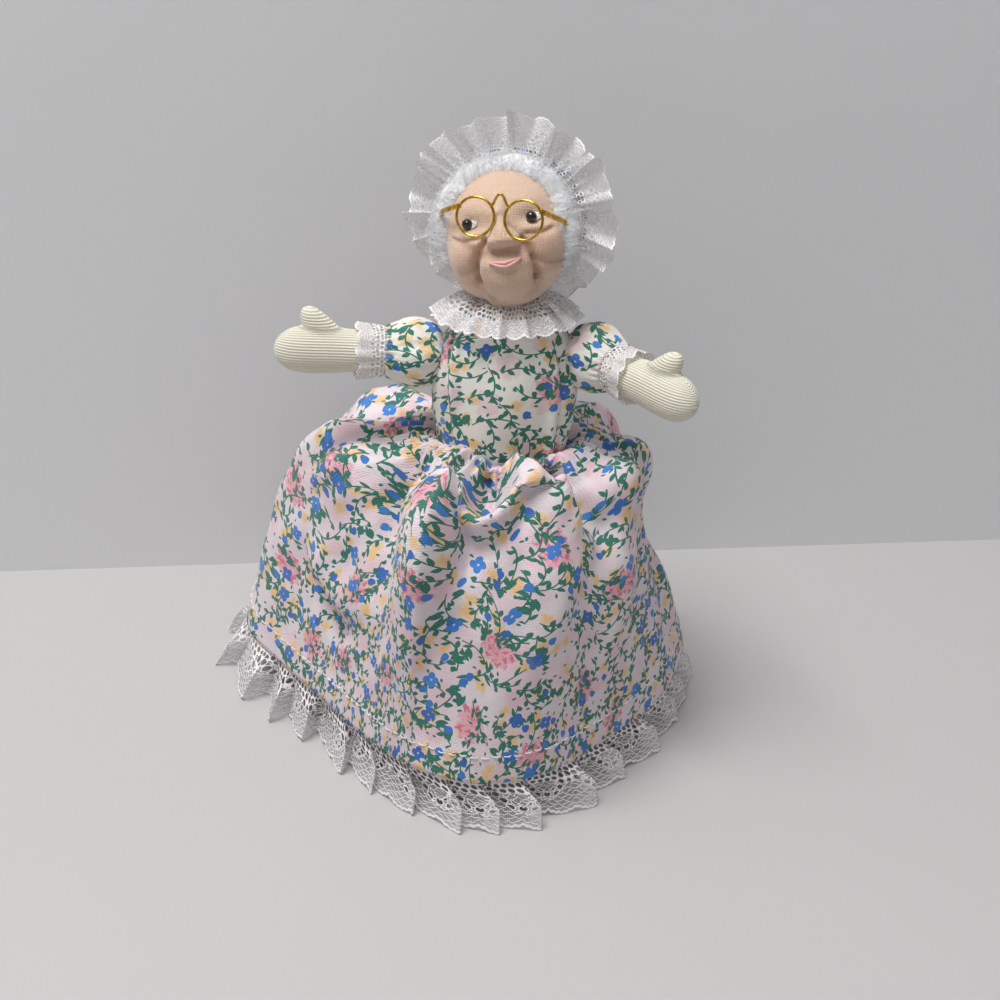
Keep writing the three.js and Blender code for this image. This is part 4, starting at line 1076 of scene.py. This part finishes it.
chance = np.random.default_rng(21)
count, steps = 4600, 7
t = np.linspace(0, 1, steps)[None]
sweep = chance.uniform(-121, 121, (count, 1)) + chance.normal(0, 10, (count, 1)) * (t - 0.5)
round_it = chance.uniform(0, math.tau, (count, 1)) + chance.normal(0, 1.3, (count, 1)) * (t - 0.5)
lift = 3.9 + chance.uniform(-0.2, 0.8, (count, 1))
lift = lift + np.abs(chance.normal(0, 0.8, (count, 1))) * np.sin(math.pi * t)
lift = lift + 0.2 * np.sin(t * chance.uniform(4, 12, (count, 1)) + chance.uniform(0, 6, (count, 1)))
strands = stand(lady_head_place, roll_spot(sweep.ravel(), round_it.ravel(), lift.ravel()))
fluff = lay_threads("lady_hair_fluff", strands.reshape(count, steps, 3), 0.04, 3)
complete(fluff, carded_fibre, "head_of_lady", "white_hair")

brown_yarn = spun("brown_wool_yarn", dye(74, 46, 28), dye(132, 88, 54), 0.55, (2600.0, 4.0, 0.7), 0.0002,
                  Roughness=0.95, Sheen_Weight=0.4)


def yarn_line(start, side, low):
    """A strand from the parting, start degrees from the brow to the nape, down one side of the head."""
    t = np.linspace(0, 1, 46)
    back = math.radians(start)
    down = t * math.radians(low)
    top = np.array([0, -math.cos(back), math.sin(back)])
    aside = np.array([side, 0.0, 0.0])
    spots = np.cos(down)[:, None] * top + np.sin(down)[:, None] * aside
    spots[:, 2] -= 0.28 * ease(t, 0.45, 1) * (1 - np.abs(top[2]) * 0.4)
    spots[:, 1] *= 1 - 0.1 * ease(t, 0.5, 1)
    spots /= np.maximum(np.linalg.norm(spots, axis=1, keepdims=True), 1)
    return spots


PARTING = 58
strands = []
for number in range(PARTING):
    start = 42 + 150 * number / (PARTING - 1)
    for side in (-1, 1):
        low = np.interp(start, [42, 60, 110, 192], [100, 112, 112, 88]) + 4 * math.sin(number * 2.4 + side)
        spots = yarn_line(start + 1.2 * side, side, low)
        spots *= HEAD_HALF + 1.6 + 0.35 * math.sin(number * 3.7 + side)
        strands.append(stand(girl_head_place, spots))


def two_ply(count, steps, angle):
    turn_on = np.linspace(0, 9 * math.tau, steps)[None, :, None]
    return 1 + 0.2 * np.cos(2 * angle + turn_on + np.arange(count)[:, None, None])


bob = lay_threads("girl_hair_yarn", strands, 1.15, 8, flatten=two_ply)
complete(bob, brown_yarn, "head_of_girl", "yarn", "girl_hair")

# Cap
# A round of the print is gathered on elastic into a cap, with a wide frill of fine lace sewn to its
# edge. It sits on the back of the head, and the frill stands round the face.
cap_lace = lace_finish("cap_lace", 0.86, 9.6, 0.3)
CAP_MIDDLE = np.array([0.0, 7.0, 5.0])
CAP_TALL = 19.5
CASING = 0.12
CASING_DEEP = 1.9
CASING_RADIUS = 1.3
FRILL_TAPER = 0.38


def cap_edge(angle):
    down = (1 - np.cos(angle)) / 2
    return np.stack([21 * np.sin(angle), 2 + 15 * down**2, 5 + CAP_TALL * np.cos(angle)], -1)


def casing_middle(angle):
    inside = (cap_edge(angle) - CAP_MIDDLE) * (1 - CASING_DEEP / CAP_TALL)
    return inside + CAP_MIDDLE + [0, CASING_DEEP, 0]


def crown_form(u, v):
    angle = math.pi + math.tau * u
    rise = np.maximum(0, (v - CASING) / (1 - CASING))
    lift = math.pi / 2 * rise
    gathers = np.cos(22 * angle + 1.5 * np.sin(3 * angle)) + 0.5 * np.cos(37 * angle)
    ripple = 1 + (0.03 * (1 - rise) * np.sqrt(rise) + 0.012 * (1 - rise)) * gathers
    ripple = ripple + 0.09 * np.sin(math.pi * rise) ** 2
    spots = (cap_edge(angle) - CAP_MIDDLE) * (np.cos(lift) * ripple)[:, None] + CAP_MIDDLE
    spots[:, 1] += 20 * np.sin(lift)

    # the edge is turned in round the elastic
    share = np.minimum(1, v / CASING)[:, None]
    turned = np.radians(195 - 150 * share)
    middle = casing_middle(angle)
    edge = (cap_edge(angle) - CAP_MIDDLE) * (1 + 0.012 * gathers)[:, None] + CAP_MIDDLE
    outward = np.stack([np.sin(angle), 0 * angle, np.cos(angle)], -1)
    wide = CASING_RADIUS + (np.linalg.norm(edge - middle, axis=1) - CASING_RADIUS)[:, None] * share
    hem = middle + outward * wide * np.cos(turned) - np.array([0, 1.0, 0]) * wide * np.sin(turned)
    reached = ease(v, 0.09, CASING)[:, None]
    spots = np.where(v[:, None] < CASING, hem + (edge - hem) * reached, spots)
    return stand(lady_head_place, spots)


def crown_cut(u, v):
    return (1 - v) * 34 * np.cos(math.tau * u) + 60, (1 - v) * 34 * np.sin(math.tau * u) + 25


crown = make_up("cap_crown_cotton", 260, 40, crown_form, crown_cut, COTTON)
complete(crown, lawn_cream, "head_of_lady", "printed_cotton", "cap_crown")


def frill_form(u, v):
    angle = math.pi + math.tau * u
    down = (1 - np.cos(angle)) / 2
    deep = down**3
    phase = 16 * angle + 1.9 * np.sin(3 * angle + 0.5) + 1.3 * np.sin(5 * angle + 2)
    uneven = 0.05 * np.sin(7 * angle + 1) + 0.045 * np.sin(19 * angle + 2)
    wide = 13.2 * (1 - FRILL_TAPER * deep) * (1 + uneven)
    crinkle = np.sin(2.3 * phase + 1) + 0.8 * np.sin(43 * angle + 3 * np.sin(4 * angle))
    out = np.stack([np.sin(angle), -0.35 + 0.75 * down**2, np.cos(angle)], -1)
    out /= np.linalg.norm(out, axis=1, keepdims=True)
    along = np.stack([np.cos(angle), 0 * angle, -np.sin(angle)], -1)
    spots = cap_edge(angle) + out * (-2.9 * (1 - deep) + wide * v)[:, None]
    strong = 1 + 0.35 * np.sin(4 * angle + 1)
    spots[:, 1] -= 1.6 + v * (1.2 + 2.2 * strong * np.sin(phase) + 0.7 * crinkle * v)
    spots[:, 1] += 0.35 * np.sin(52 * angle) * (1 - v)
    spots += along * (v * (1.3 * strong * np.cos(phase) + 0.5 * np.cos(43 * angle)))[:, None]
    return stand(lady_head_place, spots)


def frill_cut(u, v):
    down = (1 - np.cos(math.pi + math.tau * u)) / 2
    return 205 * u, (1 - v) * 13.4 * (1 - FRILL_TAPER * down**3)


frill = make_up("cap_frill_lace", 560, 16, frill_form, frill_cut)
complete(frill, cap_lace, "head_of_lady", "white_lace", "cap_brim_lace")

angle = math.tau * np.arange(96) / 96
ring = stand(lady_head_place, casing_middle(angle))
elastic = lay_threads("cap_elastic_cord", [ring], 0.6 + 0.05 * np.sin(24 * angle), 8, closed=True)
complete(elastic, white_thread, "head_of_lady", "fibre", "cap_elastic")

# Skirt
# A long double skirt is gathered into the waist seam between the two bodies: the flower print outside,
# with a stitched hem, and a dark red lining that becomes the other doll's skirt when she is turned over.
lawn_pink = flower_print("flower_print_pink", dye(232, 220, 224), dye(233, 210, 217))
HEM_LEVEL = 16
SKIRT_SIDE = np.array([(0, WAIST_MIDDLE[2]), (0.72, 99.9), (0.74, 76.9), (1, HEM_LEVEL)])
HEM_REACH = [(90, 68), (130, 71), (158, 77), (174, 73), (190, 61), (212, 53), (234, 54), (256, 61), (274, 66),
             (292, 65), (312, 61), (332, 62), (352, 67), (372, 73), (410, 72)]
LENGTH = 105
LINING_INSIDE = 1.9
HEM_STITCHES = 124


def smooth(at, places, values):
    """A smooth curve through values at places, level at both ends."""
    places, values = np.array(places, float), np.array(values, float)
    slope = np.gradient(values, places)
    slope[0] = slope[-1] = 0
    at = np.clip(at, places[0], places[-1])
    i = np.clip(np.searchsorted(places, at, side="right") - 1, 0, len(places) - 2)
    wide = places[i + 1] - places[i]
    t = (at - places[i]) / wide
    start = (1 + 2 * t) * (1 - t) ** 2 * values[i] + t * (1 - t) ** 2 * wide * slope[i]
    return start + t**2 * (3 - 2 * t) * values[i + 1] + t**2 * (t - 1) * wide * slope[i + 1]


def hem_reach(angle):
    """How far out the hem stands on the table, in mm, uneven as it was set down."""
    degrees, radii = np.array(HEM_REACH, float).T
    degrees = np.concatenate([degrees[-1:] - 360, degrees, degrees[:2] + 360])
    radii = np.concatenate([radii[-1:], radii, radii[:2]])
    return smooth((np.degrees(angle) - 90) % 360 + 90, degrees, radii)


def skirt_form(u, v):
    angle = math.pi / 2 + math.tau * u
    t = v[:, None]
    a, b, c, d = SKIRT_SIDE
    side = (1 - t) ** 3 * a + 3 * (1 - t) ** 2 * t * b + 3 * (1 - t) * t**2 * c + t**3 * d
    share = side[:, 0]
    drawn_in = 2.6 * (1 - ease(v, 0, 0.03))
    reach = hem_reach(angle)
    middle_x, middle_y, _ = WAIST_MIDDLE
    x = (middle_x + (21.1 - drawn_in) * np.cos(angle)) * (1 - share) + reach * np.cos(angle) * share
    y = (middle_y + (16.68 - drawn_in) * np.sin(angle)) * (1 - share) + reach * np.sin(angle) * share
    heaped = 4.6 + 2.6 * ease(-np.sin(angle), 0, 0.8)
    swell = heaped * (1 - ease(v, 0, 0.16)) - 1.6 * (1 - ease(v, 0, 0.02))
    return np.stack([x, y, side[:, 1] + swell], -1)


def along_fold(angle, v, points, left, right):
    """A fold that runs down the skirt through points of (angle in degrees, v, height in mm)."""
    degrees, levels, heights = np.array(points, float).T
    return smooth(v, levels, heights) * ridge(angle - smooth(v, levels, degrees), left, right)


# Folds that run down the skirt, each with points of (degrees, share of the length, height) and the widths of
# its two sides: the front pleat, its hanging fold and tuck, the left valley, the right pleat and its valley,
# and two long folds on the right.
FOLDS_DOWN = (
    ([(239, 0, 2), (245, 0.12, 9), (248, 0.26, 13), (251, 0.42, 13), (253, 0.58, 10), (254, 0.75, 5.5),
      (254, 0.9, 2), (254, 1, 0.4)], 11, 3),
    ([(260, 0.2, 0), (264, 0.36, -4.5), (266, 0.6, -3.4), (266, 0.85, -0.6), (266, 1, 0)], 4, 12),
    ([(267, 0, 1), (268, 0.09, 5), (268, 0.18, 0)], 2.4, 2.4),
    ([(212, 0.03, 0), (216, 0.18, -8), (221, 0.34, -10), (227, 0.46, -8), (231, 0.58, -4),
      (236, 0.75, 0)], 7, 6),
    ([(284, 0, 2), (291, 0.07, 8), (297, 0.16, 9.5), (302, 0.26, 6.5), (309, 0.42, 1.5),
      (312, 0.55, 0)], 12, 2.6),
    ([(299, 0, -1), (305, 0.1, -8), (309, 0.2, -9), (316, 0.36, -5), (324, 0.6, 0)], 4, 7),
    ([(303, 0.3, 0), (298, 0.52, 4), (294, 0.75, 3), (292, 1, 0)], 10, 10),
    ([(328, 0.38, 0), (324, 0.6, 4), (320, 0.85, 2), (318, 1, 0)], 9, 9),
)
# Hollow and roll of the cloth that sags across the left side: first degree, spread, points and widths.
FOLDS_ACROSS = (
    (190, 42, [(78, 0, 0), (84, 0.3, -3.4), (88, 0.55, -3.6), (87, 0.8, -2), (84, 1, 0)], 5, 3),
    (186, 50, [(70, 0, 0), (75, 0.3, 3.5), (80, 0.55, 4), (79, 0.8, 2), (76, 1, 0)], 7, 4),
)
# Height, middle, width and tallness of the pocket in front, the puffs at the sides and the fallen right side.
PUFFS = (
    (-10, (267, 0.11), 8, 0.1), (9, (194, 0.36), 15, 0.16), (3, (198, 0.62), 16, 0.12),
    (7.5, (343, 0.26), 17, 0.12), (-12.5, (373, 0.66), 22, 0.25),
)
POCKET_RIM = [(251, 10), (254, 20), (260, 29), (267, 32), (274, 29), (280, 18), (285, 6)]
LOW_CREASE = [(262, 70), (268, 78), (273, 86), (275, 93)]
# Folds that lean over to their right.
LEANS = (
    ([(247, 0.06, 0), (251, 0.24, 5), (254, 0.45, 5), (255, 0.66, 2.4), (254, 0.85, 0)], 8, 6),
    ([(291, 0.02, 0), (297, 0.14, 3.5), (302, 0.26, 2.5), (309, 0.42, 0)], 8, 4),
)


def skirt_folds(u, v, gathers=1.0):
    angle = 90 + 360 * u
    down = v * LENGTH
    lift = sum(along_fold(angle, v, *fold) for fold in FOLDS_DOWN)
    lift += sum(along_fold(down, (angle - first) / spread, *fold) for first, spread, *fold in FOLDS_ACROSS)
    lift += sum(height * mound(angle, v, *spread) for height, *spread in PUFFS)
    lift += 7.5 * pulled(angle, down, POCKET_RIM, 4.6) * ease(v, 0.02, 0.13)
    lift -= 1.5 * pulled(angle, down, LOW_CREASE, 4.5)

    # the folds behind, and the fine gathers at the waist
    behind = ease(np.sin(np.radians(angle)), -0.12, 0.3)
    rows = 3.6 * np.sin(np.radians(9 * angle + 40 * np.sin(np.radians(2 * angle))))
    rows += 1.4 * np.sin(np.radians(5 * angle + 70))
    rows *= ease(v, 0.04, 0.35) * (1 - 0.7 * ease(v, 0.8, 1))
    lift += behind * (rows + 2.5 * ridge(v - 0.3, 0.2, 0.2))
    phase = np.radians(46 * angle + 50 * np.sin(np.radians(3 * angle)) + 60 * v)
    lift += gathers * (1.1 * np.exp(-v / 0.12) * ease(v, 0, 0.03) + 0.1) * np.cos(phase)
    creased = 0.35 * np.sin(np.radians(17 * angle) + 6 * v)
    creased += 0.5 * np.sin(np.radians(13 * angle) + 11 * v) * np.sin(np.radians(7 * angle) + 19 * v)
    lift += creased * ease(v, 0.1, 0.3) * (1 - ease(v, 0.85, 1))
    return lift * (1 - v**8)


def skirt_cloth(u, v, inside=0.0, gathers=1.0):
    """Spots of the outer skirt, or of a cloth that lies inside it, in mm."""
    lift = skirt_folds(u, v, gathers)
    if inside:
        for aside in (-0.012, -0.006, 0.006, 0.012):
            for below in (-0.025, 0, 0.025):
                lift = np.minimum(lift, skirt_folds(u + aside, np.clip(v + below, 0, 1), gathers))
        lift = lift - inside
    else:
        lift = lift + 0.45 * ease(v, 0.942, 0.948)
    spots = raised(skirt_form, u, v, lift)
    lean = sum(along_fold(90 + 360 * u, v, *fold) for fold in LEANS)
    aside = skirt_form(u + 1e-3, v) - skirt_form(u - 1e-3, v)
    return spots + aside / np.linalg.norm(aside, axis=1, keepdims=True) * lean[:, None]


def closer(u):
    """Sets the threads closer together in front."""
    return u + 0.45 / math.tau * np.sin(math.tau * u)


ROUND, DOWN = 480, 110
RING_OUTER, RING_INNER = 150, 39
RING_ARC = 3.06
spread_u, spread_v = np.meshgrid(np.linspace(0, 1, ROUND + 1), np.linspace(0, 1, DOWN + 1))
folded = skirt_cloth(spread_u.ravel(), spread_v.ravel(), gathers=0).reshape(DOWN + 1, ROUND + 1, 3)
smoothed = skirt_form(spread_u.ravel(), spread_v.ravel()).reshape(DOWN + 1, ROUND + 1, 3)
up = np.linalg.norm(np.diff(folded, axis=0), axis=2)[::-1].cumsum(0)[::-1]
up = np.vstack([up, np.zeros((1, ROUND + 1))]) / up[0]
taken_up = np.linalg.norm(np.diff(folded, axis=1), axis=2) - np.linalg.norm(np.diff(smoothed, axis=1), axis=2)
taken_up = (taken_up / (RING_INNER + 108 * spread_v[:, 1:]))[DOWN // 8 : -DOWN // 8].mean(0)
turns = RING_ARC * (spread_u[0] - 0.45) + np.concatenate([[0], (taken_up - taken_up.mean()).cumsum()])


def read_share(u, v):
    """How far up the skirt a spot lies, measured along the cloth, from 0 at the hem to 1 at the waist."""
    column, row = np.clip(u, 0, 1) * ROUND, np.clip(v, 0, 1) * DOWN
    i, j = np.minimum(column.astype(int), ROUND - 1), np.minimum(row.astype(int), DOWN - 1)
    s, t = column - i, row - j
    top = up[j, i] * (1 - s) + up[j, i + 1] * s
    return top * (1 - t) + (up[j + 1, i] * (1 - s) + up[j + 1, i + 1] * s) * t


def skirt_cut(u, v):
    """Where a spot of the skirt lies in the flat ring that it was cut as, so the print isn't stretched."""
    radius = RING_OUTER - (RING_OUTER - RING_INNER) * read_share(u, v)
    turned = np.interp(u, spread_u[0], turns)
    return radius * np.cos(turned), radius * np.sin(turned)


def sew_skirt(name, across, down, inside):
    return make_up(
        name, across, down,
        lambda u, v: skirt_cloth(closer(u), v, inside) * MM,
        lambda u, v: skirt_cut(closer(u), v),
        COTTON,
    )


skirt = sew_skirt("skirt_print", 420, 110, 0.0)
complete(skirt, lawn_pink, "trunk", "printed_cotton", "skirt_outer")
red_cotton = cotton("dark_red_cotton", dye(98, 20, 28), dye(126, 32, 38))
lining = sew_skirt("skirt_lining_cotton", 300, 70, LINING_INSIDE)
complete(lining, red_cotton, "trunk", "lining_cotton", "skirt_lining")

stitches = []
for number in range(HEM_STITCHES):
    u = (number + np.linspace(0.1, 0.82, 7)) / HEM_STITCHES
    v = np.full(7, 0.951) + 0.0015 * math.sin(number * 1.9)
    dip = np.array([-0.35, 0.1, 0.28, 0.3, 0.28, 0.1, -0.35])
    stitches.append(raised(skirt_cloth, u, v, dip) * MM)
topstitch = lay_threads("skirt_hem_stitches", stitches, 0.2, 6)
complete(topstitch, white_thread, "trunk", "white_lace")
for piece in (skirt, lining, topstitch):
    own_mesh(piece)

TAPE = 5


def binding_form(u, v):
    angle = math.pi / 2 + math.tau * u
    puff = 0.25 * np.sin(math.pi * v)
    ring = np.stack([(19.8 + puff) * np.cos(angle), (15.4 + puff) * np.sin(angle), 2 - TAPE * v], -1)
    return (ring + WAIST_MIDDLE) * MM


binding = make_up("waist_tape", 120, 6, binding_form, lambda u, v: (116 * u, TAPE * v), 0.6)
complete(binding, white_cotton, "trunk", "calico", "waist_binding")

# Hem lace
# A wide strip of the lace is gathered on its plain edge and sewn under the hem, so that it stands out in
# ruffles down to the table.
wide_lace = lace_finish("hem_lace", 1.42)
HEM_PLEATS = 27
STRIP_LONG, STRIP_WIDE = 559, 19.5


def hem_ruffle(u, v):
    angle = math.pi / 2 + math.tau * u
    hem = skirt_form(u, np.ones_like(u))
    pleat = HEM_PLEATS * angle / math.tau + 0.22 * np.sin(4 * angle) + 0.13 * np.sin(9 * angle + 1)
    part = pleat % 1
    deep = 1 + 0.35 * np.sin(2.4 * np.floor(pleat))
    wave = deep * np.interp(part, [0, 0.06, 0.68, 0.78, 0.94, 1], [-0.92, -1, 0.9, 1, -0.84, -0.92])
    folded = 15.6 * (np.interp(part, [0, 0.73, 1], [0, 1.24, 1]) - part)
    out = np.stack([np.cos(angle), np.sin(angle), 0 * angle], -1)
    along = np.stack([-np.sin(angle), np.cos(angle), 0 * angle], -1)
    below = ease(v, 0.02, 0.6)
    flare = 4.6 + 4 * np.exp(-(((angle - math.radians(170)) / 0.3) ** 2))
    hem = hem + out * (-1.5 + flare * v + 2.7 * below * wave)[:, None]
    hem = hem + along * (below * folded)[:, None]
    hem[:, 2] = 17.4 - 17.1 * v
    return hem * MM


hem_lace = make_up(
    "hem_ruffle_lace", 1296, 16, hem_ruffle, lambda u, v: (STRIP_LONG * u, STRIP_WIDE * (1 - v))
)
complete(hem_lace, wide_lace, "hem", "white_lace", "hem_lace")

# Studio
# A pale table with a pale grey wall behind it, a large soft lamp above and a little to the left, and even
# light from all round. Table and wall show from their front only, so that the doll is seen from every side.
# The camera looks down at it from the front.
WALL_BEHIND = 0.083
WALL_TURN = 9.8
EVEN_LIGHT = 0.28
LOOKED_AT = Vector((0.008, -0.009, 0.08025))


def paper(name, low, high):
    material, tint = new_finish(name, Roughness=0.9)
    soft = tint.place().noise(6.0, 2.0)
    back = tint.node("ShaderNodeNewGeometry", {}, {}, "Backfacing")
    show(material, Base_Color=soft.mix(low, high), Alpha=1 - back)
    return material


bpy.ops.object.select_all(action="DESELECT")
bpy.ops.mesh.primitive_plane_add(size=4)
floor = bpy.context.object
floor.name = "table_top"
floor.data.materials.append(paper("table_paper", dye(192, 189, 189), dye(197, 194, 193)))
bpy.ops.mesh.primitive_plane_add(size=4)
wall = bpy.context.object
wall.name = "back_wall"
wall.data.transform(Matrix.Translation((0, WALL_BEHIND, 0)) @ turn("Z", WALL_TURN) @ turn("X", 90))
wall.data.materials.append(paper("wall_paper", dye(234, 235, 236), dye(240, 240, 240)))

scene = bpy.context.scene
scene.view_settings.view_transform = "Standard"
world = bpy.data.worlds.new("even_light")
world.use_nodes = True
world.node_tree.nodes["Background"].inputs["Color"].default_value = (0.95, 0.97, 1, 1)
world.node_tree.nodes["Background"].inputs["Strength"].default_value = EVEN_LIGHT
scene.world = world
lamp = bpy.data.lights.new("soft_lamp", "AREA")
lamp.shape = "SQUARE"
lamp.size = 0.5
lamp.energy = 14.8
holder = bpy.data.objects.new("soft_lamp", lamp)
bpy.context.collection.objects.link(holder)
holder.location = (-0.34, -0.2, 1.3)
holder.rotation_euler = (Vector((0, 0, 0.08)) - holder.location).to_track_quat("-Z", "Y").to_euler()

FOCAL_PIXELS = 1820
DISTANCE = 0.556
TILT = math.radians(31)
ROLL = math.radians(3.5)
ahead = Vector((0, math.cos(TILT), -math.sin(TILT)))
level = Vector((1, 0, 0))
upright = Vector((0, math.sin(TILT), math.cos(TILT)))
camera_data = bpy.data.cameras.new("front_camera")
camera_data.sensor_width = 36
camera_data.lens = camera_data.sensor_width * FOCAL_PIXELS / 1000
camera_data.clip_start = 0.02
camera = bpy.data.objects.new("front_camera", camera_data)
bpy.context.collection.objects.link(camera)
across = level * math.cos(ROLL) + upright * math.sin(ROLL)
up = upright * math.cos(ROLL) - level * math.sin(ROLL)
spot = LOOKED_AT - ahead * DISTANCE
camera.matrix_world = Matrix.Translation(spot) @ Matrix((across, up, -ahead)).transposed().to_4x4()
scene.camera = camera
